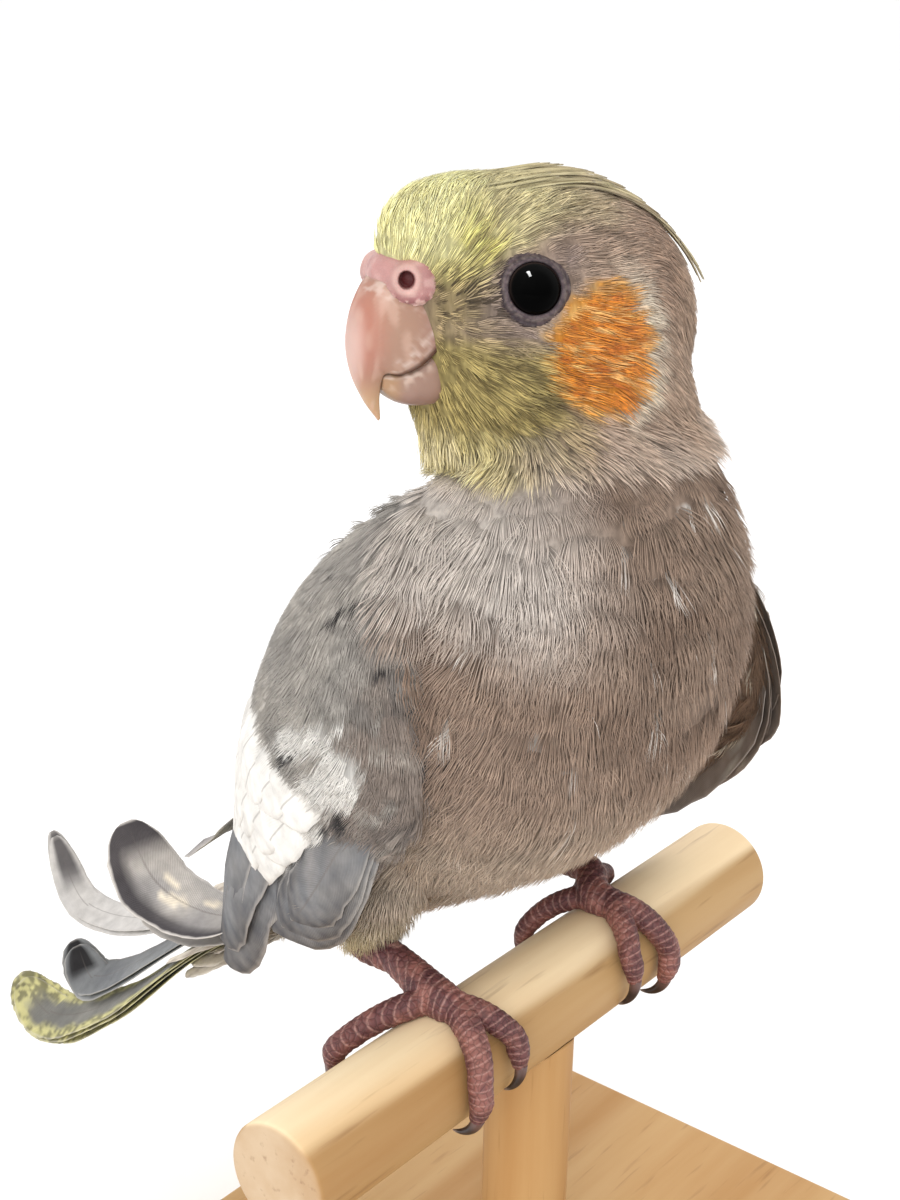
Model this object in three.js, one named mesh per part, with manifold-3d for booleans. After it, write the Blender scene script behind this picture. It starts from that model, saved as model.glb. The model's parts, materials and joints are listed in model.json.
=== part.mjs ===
// A young cockatiel at life size, gripping a wooden T perch with its head turned over its right shoulder.
// Millimetres, +Z up. The origin is the middle of the stand base's underside, and the dowel runs along X.
import * as THREE from "three";
import { mergeVertices } from "three/addons/utils/BufferGeometryUtils.js";
import Module from "manifold-3d";

const wasm = await Module();
wasm.setup();

// Driving dimensions.
const GAP = 0.3; // between neighbouring pieces
const DEGREE = Math.PI / 180;
const HUGE = 400; // side of the blocks that part the body

const DOWEL_RADIUS = 7.5;
const DOWEL_LENGTH = 104;
const DOWEL_CHAMFER = 0.8;
const PERCH_HEIGHT = 62; // from the floor to the dowel's axis
const BASE_LENGTH = 108; // along the dowel
const BASE_WIDTH = 102;
const BASE_THICKNESS = 10;
const BASE_EDGE = 1;
const POST_RADIUS = 6.2;

const BODY_TURN = 8 * DEGREE; // the body turns this far to its own right of straight across the dowel
const TAIL_TURN = 4 * DEGREE;
const HEAD_TURN = 112 * DEGREE; // the bill's direction, from straight across the dowel

const HEAD_MIDDLE = { forward: -3, up: 96.5 };
const HEAD_FRONT = 20;
const HEAD_BACK = 20.5;
const HEAD_TOP = 18.4;
const HEAD_BOTTOM = 21;
const HEAD_HALF_WIDTH = 15.2;
const HEAD_AROUND = 28;
const HEAD_ROWS = 17;

const EYE_RADIUS = 3.6;
const EYE_OPENING = 3.1; // radius of the ring of lid skin
const EYE_FORWARD = 9.2;
const EYE_UP = 6.9;
const LID_THICKNESS = 0.62;
const NOSTRIL_RADIUS = 0.62;

const CLAW_LENGTH = 4.6;
const CLAW_RADIUS = 0.92;
const CLAW_SWEEP = 60 * DEGREE; // how far a claw bends
const TOE_RADIUS = 1.75;
const FOOT_PLACE = { left: 16.6, right: -19.4 }; // each foot's middle along the dowel

// The trunk from the head down to the root of the tail, in the body's own plane, from the dowel's axis.
const TRUNK_STATIONS = [
  { forward: -2, left: 3.5, up: 93, width: 15, depth: 15 },
  { forward: 0, left: 3, up: 81, width: 17.4, depth: 17 },
  { forward: 2, left: 1.2, up: 70, width: 22.4, depth: 20.5 },
  { forward: 1, left: 0.5, up: 58, width: 26, depth: 23.2 },
  { forward: -3.5, left: 0, up: 47, width: 27, depth: 23.6 },
  { forward: -11, left: 0, up: 35.5, width: 24.4, depth: 20.2 },
  { forward: -20, left: 0, up: 24, width: 19.2, depth: 15 },
  { forward: -30, left: 0, up: 12.5, width: 13.2, depth: 10 },
  { forward: -41, left: 0, up: 2, width: 8.5, depth: 5.6 },
];
const TRUNK_AROUND = 24;
const TRUNK_ROWS = 20;

// The folded wing from shoulder to tip: its own middle line inside the body (forward, up), how far it
// stands out to the side and to the back, and the angles from straight ahead at its two edges.
const WING_STATIONS = [
  { forward: 1, up: 78, out: 15, deep: 14, front: 90, back: 122 },
  { forward: 0, up: 70, out: 21.6, deep: 19.4, front: 90, back: 142 },
  { forward: -3, up: 59, out: 28, deep: 24.6, front: 75, back: 152 },
  { forward: -8, up: 47, out: 30.6, deep: 28.4, front: 58, back: 157 },
  { forward: -15, up: 34.5, out: 30.4, deep: 28.6, front: 61, back: 160 },
  { forward: -23, up: 22.5, out: 28, deep: 25.4, front: 66, back: 160 },
  { forward: -32, up: 10.5, out: 24, deep: 18.6, front: 76, back: 154 },
  { forward: -41, up: -2, out: 20, deep: 12, front: 90, back: 134 },
];
const WING_THICKNESS = 6.5;
const WING_LIFT = { left: 9 * DEGREE, right: 0 }; // how far each wing stands away from the flank
const WING_OUT = { left: 3, right: 0 }; // and how far it is moved out as a whole
const WING_AHEAD = { left: 6, right: 0 }; // and its middle forward

const CORE_END = 0.86; // the wing's own body stops here along its length, and feathers go on
const CORE_ROWS = 8;
const CORE_COLUMNS = 6;

// Feathers: half of a vane's thickness, how far its root is sunk, and how far its tip dips.
const VANE_HALF = 0.28;
const ROOT_SINK = 1.1;
const TIP_DIP = 0.5;

// Rows of feathers down the wing, from the flight feathers up to the shoulder. root and tip are shares of
// the wing's length, and half is half of a feather's width.
const WING_TIERS = [
  { count: 6, root: 0.55, tip: 1.02, stagger: 0.05, half: 4.9, lift: 1.2, tilt: 0.15, cuts: 5 },
  { count: 6, root: 0.46, tip: 0.73, stagger: 0.03, half: 5.2, lift: 2.4, tilt: 0.15, cuts: 4 },
  { count: 6, root: 0.33, tip: 0.57, stagger: 0.03, half: 5.0, lift: 2.4, tilt: 0.15, cuts: 4 },
  { count: 5, root: 0.2, tip: 0.43, stagger: 0.03, half: 4.9, lift: 2.2, tilt: 0.15, cuts: 4 },
  { count: 4, root: 0.06, tip: 0.3, stagger: 0.02, half: 3.6, lift: 1.7, tilt: 0.14, cuts: 4 },
];
const CONVERGE = 0.14; // how far the feathers draw together from the shoulder to the tip

// The right wing's longest feathers, which curl up behind it: forward, left and up in the body's frame.
const CURLED_FEATHERS = [
  {
    half: 6.8,
    line: [[-34, -14, 20], [-43, -14.5, 11.5], [-52, -15, 7], [-59, -16, 7.5]],
  },
  {
    half: 7,
    line: [[-36, -16.5, 8], [-43, -17, 1.5], [-53, -18, -2], [-64, -19, -1], [-71, -19.5, 6]],
  },
  {
    half: 5,
    line: [[-36, -14, 5], [-44, -14.5, -2], [-54, -15.5, -6.5], [-63, -16.5, -7], [-68, -17, -4]],
  },
];

// The tail's feathers lie in three bundles, each with the line of its top feather: forward, left and up.
const TAIL_BUNDLES = [
  {
    count: 3,
    line: [[0, 0.4, 4.4], [-22, 0.8, -9], [-47, 1.2, -26.5], [-69, 1.5, -34], [-78, 1.5, -24.5]],
  },
  {
    count: 2,
    line: [[0, -1.5, 1.6], [-22, -3, -12.4], [-45, -4.8, -31.5], [-58, -5.6, -40], [-63, -6, -34.5]],
  },
  {
    count: 3,
    line: [[0, -3.5, -1.1], [-22, -6, -15.8], [-45, -9.5, -37], [-63, -10.5, -48], [-74, -11, -44.5]],
  },
];
const TAIL_HALF = 4.6; // half of a tail feather's width
const TAIL_STEP = 1.05; // from one feather of a bundle down to the next
const TAIL_SHORTER = 2.5; // and how much shorter the next one is
const TAIL_CORE = 34; // length of the wedge that holds the feathers' roots
const TAIL_SHIFT = 0.7; // how far the feathers of a bundle part sideways
const TAIL_COVERTS = { count: 3, reach: 28, half: 4.6 };

const CREST_COUNT = 8;
const CREST_HALF = 1.1;
const CREST_SPREAD = 3.6; // how far the crest's roots lie to either side

const up = new THREE.Vector3(0, 0, 1);

// A level frame turned to its right about Z, with a point given as forward, left and up from its middle.
function turnedFrame(turn, middle) {
  const forward = new THREE.Vector3(-Math.sin(turn), -Math.cos(turn), 0);
  const left = new THREE.Vector3().crossVectors(up, forward);
  const point = (f, l, u) =>
    middle.clone().addScaledVector(forward, f).addScaledVector(left, l).addScaledVector(up, u);
  return { forward, left, point };
}

const dowelMiddle = new THREE.Vector3(0, 0, PERCH_HEIGHT);
const body = turnedFrame(BODY_TURN, dowelMiddle);
const head = turnedFrame(HEAD_TURN, body.point(HEAD_MIDDLE.forward, 0, HEAD_MIDDLE.up));
const tailRoot = TRUNK_STATIONS[TRUNK_STATIONS.length - 1];
const tail = turnedFrame(TAIL_TURN, body.point(tailRoot.forward, 0, tailRoot.up));

// A closed geometry from points and triangles, turned inside out where its faces point in.
function closedGeometry(points, triangles) {
  const a = new THREE.Vector3();
  let volume = 0;
  for (const [i, j, k] of triangles) {
    volume += a.copy(points[i]).cross(points[j]).dot(points[k]);
  }
  const faces = volume < 0 ? triangles.map(([i, j, k]) => [i, k, j]) : triangles;
  const geometry = new THREE.BufferGeometry().setFromPoints(points);
  geometry.setIndex(faces.flat());
  return geometry;
}

// A skin over rings of equally many points, closed at both ends by fans about the rings' middles.
function loft(rings) {
  const count = rings[0].length;
  const points = rings.flat();
  const triangles = [];
  for (let r = 0; r + 1 < rings.length; r++) {
    for (let i = 0; i < count; i++) {
      const a = r * count + i;
      const b = r * count + ((i + 1) % count);
      triangles.push([a, b, b + count], [a, b + count, a + count]);
    }
  }
  for (const [start, turn] of [[0, 1], [(rings.length - 1) * count, -1]]) {
    const ring = points.slice(start, start + count);
    const middle = ring.reduce((sum, p) => sum.add(p), new THREE.Vector3()).divideScalar(count);
    points.push(middle);
    const m = points.length - 1;
    for (let i = 0; i < count; i++) {
      const a = start + i;
      const b = start + ((i + 1) % count);
      triangles.push(turn > 0 ? [m, b, a] : [m, a, b]);
    }
  }
  return closedGeometry(points, triangles);
}

// A ring of points round a middle, out to w one way and to d the other, squarer where square is below 1.
function ring(middle, side, front, w, d, count, square = 1) {
  const points = [];
  for (let i = 0; i < count; i++) {
    const angle = (2 * Math.PI * i) / count;
    const c = Math.cos(angle);
    const s = Math.sin(angle);
    const x = Math.sign(c) * Math.abs(c) ** square * w;
    const y = Math.sign(s) * Math.abs(s) ** square * d;
    points.push(middle.clone().addScaledVector(side, x).addScaledVector(front, y));
  }
  return points;
}

// Smooth values between stations: each named number follows one curve through all of them.
function smooth(stations) {
  const names = Object.keys(stations[0]);
  const curves = names.map((name) => {
    const points = stations.map((station, i) => new THREE.Vector3(i, station[name], 0));
    return [name, new THREE.CatmullRomCurve3(points, false, "catmullrom", 0.5)];
  });
  return (t) => Object.fromEntries(curves.map(([name, curve]) => [name, curve.getPoint(t).y]));
}

// The solid of a geometry, for joins and cuts.
function solid(geometry) {
  const bare = geometry.clone();
  bare.deleteAttribute("normal");
  bare.deleteAttribute("uv");
  const merged = mergeVertices(bare, 1e-4);
  return new wasm.Manifold(
    new wasm.Mesh({
      numProp: 3,
      vertProperties: new Float32Array(merged.getAttribute("position").array),
      triVerts: new Uint32Array(merged.getIndex().array),
    }),
  );
}

// The largest closed body of a solid, as a geometry again.
function largest(manifold) {
  let best = null;
  for (const piece of manifold.decompose()) {
    if (!best || piece.volume() > best.volume()) best = piece;
  }
  return best;
}

function geometryOf(manifold) {
  const mesh = largest(manifold).getMesh();
  const geometry = new THREE.BufferGeometry();
  geometry.setAttribute("position", new THREE.BufferAttribute(new Float32Array(mesh.vertProperties), 3));
  geometry.setIndex(new THREE.BufferAttribute(new Uint32Array(mesh.triVerts), 1));
  return geometry;
}

function joined(solids) {
  return solids.reduce((sum, piece) => sum.add(piece));
}

// The part of a solid on one side of a plane, kept half a gap off it.
function half(manifold, point, normal, sign) {
  const block = new THREE.BoxGeometry(HUGE, HUGE, HUGE);
  const direction = normal.clone().normalize().multiplyScalar(sign);
  block.applyQuaternion(new THREE.Quaternion().setFromUnitVectors(up, direction));
  const middle = point.clone().addScaledVector(direction, HUGE / 2 + GAP / 2);
  block.translate(middle.x, middle.y, middle.z);
  return manifold.intersect(solid(block));
}

// A repeatable number from -1 to 1, for varying like pieces.
function vary(seed) {
  const wave = Math.sin(seed * 12.9898) * 43758.5453;
  return 2 * (wave - Math.floor(wave)) - 1;
}

// A thin closed plate over a grid of points, with its two faces split into triangles alike.
function plateSolid(rows, outs, halfThickness) {
  const height = rows.length;
  const width = rows[0].length;
  const points = [];
  for (const sign of [1, -1]) {
    rows.forEach((row, r) => {
      row.forEach((p, c) => points.push(p.clone().addScaledVector(outs[r], sign * halfThickness)));
    });
  }
  const under = height * width;
  const at = (r, c) => r * width + c;
  const triangles = [];
  const face = (a, b, c) => triangles.push([a, b, c], [a + under, c + under, b + under]);
  for (let r = 0; r + 1 < height; r++) {
    for (let c = 0; c + 1 < width; c++) {
      if (c < (width - 1) / 2) {
        face(at(r, c), at(r, c + 1), at(r + 1, c + 1));
        face(at(r, c), at(r + 1, c + 1), at(r + 1, c));
      } else {
        face(at(r, c), at(r, c + 1), at(r + 1, c));
        face(at(r, c + 1), at(r + 1, c + 1), at(r + 1, c));
      }
    }
  }
  const border = [];
  for (let c = 0; c + 1 < width; c++) border.push([at(0, c), at(0, c + 1)]);
  for (let r = 0; r + 1 < height; r++) border.push([at(r, width - 1), at(r + 1, width - 1)]);
  for (let c = width - 1; c > 0; c--) border.push([at(height - 1, c), at(height - 1, c - 1)]);
  for (let r = height - 1; r > 0; r--) border.push([at(r, 0), at(r - 1, 0)]);
  for (const [a, b] of border) {
    triangles.push([a, a + under, b + under], [a, b + under, b]);
  }
  return solid(closedGeometry(points, triangles));
}

// How wide a vane is along its length, as a share of its greatest width: narrow root, round tip.
function vaneWidth(t, narrow) {
  const rise = narrow + (1 - narrow) * Math.sin(Math.min(t / 0.5, 1) * (Math.PI / 2));
  const round = t > 0.66 ? Math.sqrt(Math.max(1 - ((t - 0.66) / 0.36) ** 2, 0)) : 1;
  return rise * round;
}

// One feather. place(t, side) gives the point and the way out at t of its length and -1, 0 or 1 across it.
function vaneSolid(cuts, place, halfThickness = VANE_HALF) {
  const rows = [];
  const outs = [];
  for (let r = 0; r < cuts; r++) {
    const t = 1 - (1 - r / (cuts - 1)) ** 1.5;
    const spots = [-1, 0, 1].map((side) => place(t, side));
    rows.push(spots.map((spot) => spot.point));
    outs.push(spots[1].out);
  }
  return plateSolid(rows, outs, halfThickness);
}

// A feather along a free line in space, cupped a little and tilted about its shaft.
function freeVane({ line, left, halfWidth, tilt = 0, narrow = 0.4, cuts = 6, cup = 0.1 }) {
  const path = new THREE.CatmullRomCurve3(line);
  return vaneSolid(cuts, (t, side) => {
    const along = path.getTangent(t);
    const out = new THREE.Vector3().crossVectors(left, along).normalize();
    if (out.dot(up) + 0.6 * out.dot(body.forward) < 0) out.negate();
    const w = halfWidth * vaneWidth(t, narrow);
    const point = path
      .getPoint(t)
      .addScaledVector(left, side * w)
      .addScaledVector(out, side * w * tilt * t - Math.abs(side) * w * cup);
    return { point, out };
  });
}

// Materials, one for each kind of surface.
const paint = (color, roughness) => new THREE.MeshStandardMaterial({ color, roughness, metalness: 0 });
const looks = {
  face: paint(0xcfc88a, 0.8),
  breast: paint(0xac9e92, 0.85),
  wing: paint(0x8d8c8b, 0.7),
  tail: paint(0x85868a, 0.7),
  bill: paint(0xe8b4a6, 0.35),
  cere: paint(0xd99aa0, 0.55),
  eye: paint(0x0b0a0c, 0.05),
  foot: paint(0xa97580, 0.65),
  claw: paint(0x54403f, 0.4),
  wood: paint(0xe2c391, 0.55),
};

const part = new THREE.Group();
function addNode(name, geometry, look) {
  geometry.computeVertexNormals();
  const mesh = new THREE.Mesh(geometry, look.clone());
  mesh.name = name;
  part.add(mesh);
  return mesh;
}

// Trunk: one loft from inside the head to the root of the tail. grow swells it, to clear its neighbours.
const trunkAt = smooth(TRUNK_STATIONS);
function trunkRing(t, grow, around) {
  const here = trunkAt(t);
  const before = trunkAt(Math.max(t - 0.02, 0));
  const after = trunkAt(Math.min(t + 0.02, 1));
  const along = body
    .point(after.forward, 0, after.up)
    .sub(body.point(before.forward, 0, before.up))
    .normalize();
  const front = new THREE.Vector3().crossVectors(along, body.left).normalize();
  const middle = body.point(here.forward, here.left, here.up);
  return ring(middle, body.left, front, here.width + grow, here.depth + grow, around, 0.94);
}

function trunkGeometry(grow = 0, around = TRUNK_AROUND, rows = TRUNK_ROWS) {
  const rings = [];
  for (let r = 0; r <= rows; r++) rings.push(trunkRing(r / rows, grow, around));
  return loft(rings);
}

// Head: a ball drawn out by halves of different length, with a full forehead and throat.
function bump(direction, forward, left, upward, sharp) {
  const aim = new THREE.Vector3(forward, left, upward).normalize();
  return Math.exp(-sharp * (1 - direction.dot(aim)));
}

function headPoint(direction, grow = 0) {
  const long = direction.x > 0 ? HEAD_FRONT : HEAD_BACK;
  const tall = direction.z > 0 ? HEAD_TOP : HEAD_BOTTOM;
  const reach = new THREE.Vector3(direction.x * long, direction.y * HEAD_HALF_WIDTH, direction.z * tall);
  let swell = 1;
  swell += 0.38 * bump(direction, 0.8, 0, 0.6, 10); // forehead over the cere
  swell += 0.06 * bump(direction, 0.35, 0.85, -0.3, 8); // cheeks
  swell += 0.06 * bump(direction, 0.35, -0.85, -0.3, 8);
  swell -= 0.07 * bump(direction, 0.9, 0, -0.4, 8); // flat face round the bill
  swell += 0.14 * bump(direction, 0.6, 0, -0.8, 8); // full throat
  swell -= 0.05 * bump(direction, -0.65, 0, 0.75, 7); // back of the crown
  swell += 0.05 * bump(direction, -0.8, 0, -0.4, 4); // nape
  reach.multiplyScalar(swell);
  return head.point(
    reach.x + grow * direction.x,
    reach.y + grow * direction.y,
    reach.z + grow * direction.z,
  );
}

function headGeometry(grow = 0) {
  const rings = [];
  for (let r = 1; r < HEAD_ROWS; r++) {
    const fall = (Math.PI * r) / HEAD_ROWS;
    const row = [];
    for (let i = 0; i < HEAD_AROUND; i++) {
      const turn = (2 * Math.PI * i) / HEAD_AROUND;
      const direction = new THREE.Vector3(
        Math.sin(fall) * Math.cos(turn),
        Math.sin(fall) * Math.sin(turn),
        Math.cos(fall),
      );
      row.push(headPoint(direction, grow));
    }
    rings.push(row);
  }
  return loft(rings);
}

// The way out of the head's surface, from two short steps along it.
function headNormal(direction) {
  const step = 0.05;
  const across = new THREE.Vector3().crossVectors(up, direction).normalize();
  const over = new THREE.Vector3().crossVectors(direction, across).normalize();
  const beside = (way, far) => headPoint(direction.clone().addScaledVector(way, far).normalize());
  const a = beside(across, step).sub(beside(across, -step));
  const b = beside(over, step).sub(beside(over, -step));
  const normal = a.cross(b).normalize();
  const away = headPoint(direction).sub(head.point(0, 0, 0));
  return normal.dot(away) < 0 ? normal.negate() : normal;
}

// Where the head's surface lies at a side of the face: the point, and the way out of it.
function faceSpot(forward, upward, side) {
  let best = null;
  const steps = 90;
  for (let i = 1; i < steps; i++) {
    const turn = (side * Math.PI * i) / steps;
    for (let j = 1; j < steps; j++) {
      const fall = (Math.PI * j) / steps;
      const direction = new THREE.Vector3(
        Math.sin(fall) * Math.cos(turn),
        Math.sin(fall) * Math.sin(turn),
        Math.cos(fall),
      );
      const spot = headPoint(direction);
      const seen = spot.clone().sub(head.point(0, 0, 0));
      const miss = Math.hypot(seen.dot(head.forward) - forward, seen.z - upward);
      if (!best || miss < best.miss) best = { miss, spot, direction };
    }
  }
  return { spot: best.spot, out: headNormal(best.direction) };
}

function eyePlace(side) {
  const { spot, out } = faceSpot(EYE_FORWARD, EYE_UP, side);
  const middle = spot.clone().addScaledVector(out, -EYE_RADIUS * 0.66);
  return { middle, out };
}

function ballGeometry(middle, radius, around, rows) {
  const ball = new THREE.SphereGeometry(radius, around, rows);
  ball.translate(middle.x, middle.y, middle.z);
  return ball;
}

// A ring of lid skin round the eye, fuller above than below.
function lidGeometry({ middle, out }) {
  const across = new THREE.Vector3().crossVectors(up, out).normalize();
  const over = new THREE.Vector3().crossVectors(out, across).normalize();
  const lift = Math.sqrt(EYE_RADIUS ** 2 - EYE_OPENING ** 2) + 0.25;
  const around = 16;
  const sides = 5;
  const points = [];
  const triangles = [];
  for (let i = 0; i < around; i++) {
    const angle = (2 * Math.PI * i) / around;
    const radial = across.clone().multiplyScalar(Math.cos(angle)).addScaledVector(over, Math.sin(angle));
    const thick = LID_THICKNESS * (1 + 0.35 * Math.max(Math.sin(angle), 0));
    for (let j = 0; j < sides; j++) {
      const roll = (2 * Math.PI * j) / sides;
      points.push(
        middle
          .clone()
          .addScaledVector(out, lift + thick * Math.sin(roll))
          .addScaledVector(radial, EYE_OPENING + 0.45 + thick * 1.3 * Math.cos(roll)),
      );
      const a = i * sides + j;
      const b = i * sides + ((j + 1) % sides);
      const c = ((i + 1) % around) * sides + j;
      const d = ((i + 1) % around) * sides + ((j + 1) % sides);
      triangles.push([a, c, d], [a, d, b]);
    }
  }
  return closedGeometry(points, triangles);
}

// Half of the bill: rings between an outer and an inner line of the head's middle plane.
function billGeometry(stations, grow = 0) {
  const rings = stations.map(({ outer, inner, half: halfWidth }) => {
    const top = head.point(outer[0], 0, outer[1]);
    const low = head.point(inner[0], 0, inner[1]);
    const middle = top.clone().add(low).multiplyScalar(0.5);
    const depth = top.distanceTo(low) / 2;
    const toTop = top.clone().sub(low).normalize();
    return ring(middle, head.left, toTop, halfWidth + grow, depth + grow, 12, 0.85);
  });
  return loft(rings);
}

const UPPER_BILL = [
  { outer: [17.5, 8.6], inner: [12.5, -0.5], half: 5.3 },
  { outer: [22.8, 7.8], inner: [16.6, -1.2], half: 5.6 },
  { outer: [25.4, 4.4], inner: [19.2, -2.4], half: 5.1 },
  { outer: [26.4, -0.2], inner: [21.2, -3.6], half: 4.0 },
  { outer: [25.8, -4.4], inner: [22.2, -5.4], half: 2.6 },
  { outer: [24.4, -7.8], inner: [22.7, -7.9], half: 1.2 },
  { outer: [22.9, -10.4], inner: [22.5, -10.2], half: 0.35 },
];
const LOWER_BILL = [
  { outer: [13, 0.2], inner: [10.5, -8], half: 4.9 },
  { outer: [17.4, -1.4], inner: [15.6, -9.6], half: 5.0 },
  { outer: [20.2, -3.2], inner: [19, -9.4], half: 4.3 },
  { outer: [22, -5], inner: [21.3, -8.2], half: 2.7 },
];

// The cere: two swollen bulbs over the bill's root, joined by a saddle, each with an open nostril.
function cereSolid() {
  const blob = (f, l, u, size, squash) => {
    const ball = new THREE.SphereGeometry(size, 10, 7);
    ball.scale(1, squash, 0.85);
    ball.rotateZ(Math.atan2(head.forward.y, head.forward.x));
    const middle = head.point(f, l, u);
    ball.translate(middle.x, middle.y, middle.z);
    return solid(ball);
  };
  const cere = joined([
    blob(20, 3.1, 6.8, 3.7, 0.95),
    blob(20, -3.1, 6.8, 3.7, 0.95),
    blob(20.6, 0, 7.4, 3.6, 1.25),
  ]);
  const nostrils = [1, -1].map((side) => {
    const hole = new THREE.CylinderGeometry(NOSTRIL_RADIUS, NOSTRIL_RADIUS, 2.6, 10);
    const outward = head.point(0.55, side, 0.18).sub(head.point(0, 0, 0)).normalize();
    hole.applyQuaternion(new THREE.Quaternion().setFromUnitVectors(new THREE.Vector3(0, 1, 0), outward));
    const mouth = head.point(22.3, side * 5.9, 7.5);
    hole.translate(mouth.x, mouth.y, mouth.z);
    return solid(hole);
  });
  return nostrils.reduce((rest, hole) => rest.subtract(hole), cere);
}

// Wing: a curved sheet over the flank. u runs from shoulder to tip, v from back edge (-1) to front (1).
const wingCurve = smooth(WING_STATIONS);
function wingAt(u) {
  if (u <= 1) return wingCurve(Math.max(u, 0));
  const end = wingCurve(1);
  const before = wingCurve(0.97);
  return Object.fromEntries(
    Object.keys(end).map((name) => [name, end[name] + ((end[name] - before[name]) * (u - 1)) / 0.03]),
  );
}

function wingPoint(side, u, v, inward) {
  const here = wingAt(u);
  const before = wingAt(Math.max(u - 0.02, 0));
  const after = wingAt(Math.max(u + 0.02, 0.02));
  const run = Math.hypot(after.forward - before.forward, after.up - before.up);
  const toFront = { forward: -(after.up - before.up) / run, up: (after.forward - before.forward) / run };
  const angle = (here.back + ((here.front - here.back) * (v + 1)) / 2) * DEGREE;
  const name = side > 0 ? "left" : "right";
  const lifted = Math.sin(WING_LIFT[name]) * (WING_STATIONS[0].up - here.up);
  const out = (here.out - inward) * Math.sin(angle) + lifted + WING_OUT[name] * Math.min(u * 4, 1);
  const ahead = (here.deep - inward) * Math.cos(angle);
  const shift = WING_AHEAD[name] * Math.sin(Math.PI * Math.min(Math.max(u, 0), 1));
  return body.point(
    here.forward + toFront.forward * ahead + shift,
    side * out,
    here.up + toFront.up * ahead,
  );
}

function wingCoreGeometry(side) {
  const rings = [];
  for (let r = 0; r <= CORE_ROWS; r++) {
    const u = (CORE_END * r) / CORE_ROWS;
    const thick = WING_THICKNESS * (0.2 + 0.8 * Math.sin(Math.PI * Math.min(u + 0.12, 1)));
    const row = [];
    for (let i = 0; i <= CORE_COLUMNS; i++) {
      row.push(wingPoint(side, u, -1 + (2 * i) / CORE_COLUMNS, 0));
    }
    for (let i = CORE_COLUMNS - 1; i > 0; i--) {
      const v = -1 + (2 * i) / CORE_COLUMNS;
      row.push(wingPoint(side, u, v, thick * Math.sqrt(1 - v * v) + 0.6));
    }
    rings.push(row);
  }
  return loft(rings);
}

// The way out of the wing's sheet, and how long one step of v is there.
function wingLie(side, u, v) {
  const step = 0.05;
  const along = wingPoint(side, u + step, v, 0).sub(wingPoint(side, u - step, v, 0));
  const across = wingPoint(side, u, v + step, 0).sub(wingPoint(side, u, v - step, 0));
  const out = new THREE.Vector3().crossVectors(along, across).normalize();
  if (out.dot(body.left) * side < 0) out.negate();
  return { out, arc: across.length() / (2 * step) };
}

// One feather of a row, lying along the wing with its front edge over the next one in front.
function wingVane(side, tier, index) {
  const place = tier.count > 1 ? (2 * index) / (tier.count - 1) - 1 : 0;
  const seed = index + 17 * tier.cuts + 31 * tier.root + (side > 0 ? 50 : 0);
  const rootU = tier.root + 0.015 * vary(seed + 1);
  const tipU = tier.tip + tier.stagger * vary(seed + 2) - 0.05 * Math.abs(place) ** 3;
  const halfWidth = tier.half * (1 + 0.06 * vary(seed + 3));
  return vaneSolid(tier.cuts, (t, edge) => {
    const u = rootU + (tipU - rootU) * t;
    const v = place * (0.9 - CONVERGE * u);
    const w = halfWidth * vaneWidth(t, 0.5);
    const pull = edge === 0 ? 0 : 0.012 * t;
    const { out, arc } = wingLie(side, u, v);
    const rise = (tier.lift + ROOT_SINK) * Math.min(t * 1.5, 1) - TIP_DIP * Math.max(t * 3 - 2, 0);
    const height = rise - ROOT_SINK + edge * w * tier.tilt;
    const point = wingPoint(side, u - pull, v + (edge * w) / arc, 0).addScaledVector(out, height);
    return { point, out };
  });
}

function wingVanes(side) {
  const vanes = [];
  for (const tier of WING_TIERS) {
    for (let index = 0; index < tier.count; index++) vanes.push(wingVane(side, tier, index));
  }
  return vanes;
}

function curledVanes() {
  return CURLED_FEATHERS.map(({ line, half: halfWidth }) => {
    const points = line.map(([f, l, u]) => body.point(f, l, u));
    return freeVane({ line: points, left: body.left, halfWidth, tilt: 0.15 });
  });
}

// Tail: a wedge from the rump that holds the roots of the tail feathers and of their coverts.
function tailCoreGeometry() {
  const rings = [];
  const rows = 5;
  for (let r = 0; r <= rows; r++) {
    const t = r / rows;
    const place = tail.point(6 - TAIL_CORE * t, -0.6 - 2 * t, 3 - 25 * t + 3 * t ** 2);
    rings.push(ring(place, tail.left, up, 7.6 + 1.2 * t - 3 * t ** 4, 5.2 - 3.9 * t, 10));
  }
  return loft(rings);
}

// A bundle's feathers slope down, turn up at their tips, and lie one beneath the other.
function tailVanes() {
  const vanes = [];
  for (const { line, count } of TAIL_BUNDLES) {
    for (let index = 0; index < count; index++) {
      const points = line.map(([f, l, u], cut) => {
        const share = cut / (line.length - 1);
        const shift = index * (index % 2 ? -TAIL_SHIFT : TAIL_SHIFT) * share;
        return tail.point(f + index * TAIL_SHORTER * share, l + shift, u - index * TAIL_STEP);
      });
      vanes.push(freeVane({ line: points, left: tail.left, halfWidth: TAIL_HALF, tilt: 0.1, cup: 0.04 }));
    }
  }
  return vanes;
}

// Short feathers over and under the tail's root.
function tailCovertVanes() {
  const { count, reach, half: halfWidth } = TAIL_COVERTS;
  const vanes = [];
  for (const [high, start] of [[1, 5.2], [-1, -5]]) {
    for (let index = 0; index < count; index++) {
      const across = index - (count - 1) / 2;
      const far = reach + 3 * vary(index + high * 9) - 1.5 * Math.abs(across);
      const rise = start - high * 0.9 * Math.abs(across);
      const line = [
        tail.point(-1, across * 3.4, rise),
        tail.point(-0.5 * far, across * 4, rise - 0.29 * far),
        tail.point(-far, across * 4.6, rise - 0.62 * far + high * 0.8),
      ];
      vanes.push(freeVane({ line, left: tail.left, halfWidth, tilt: 0, cuts: 4, cup: 0.14 }));
    }
  }
  return vanes;
}

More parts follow.
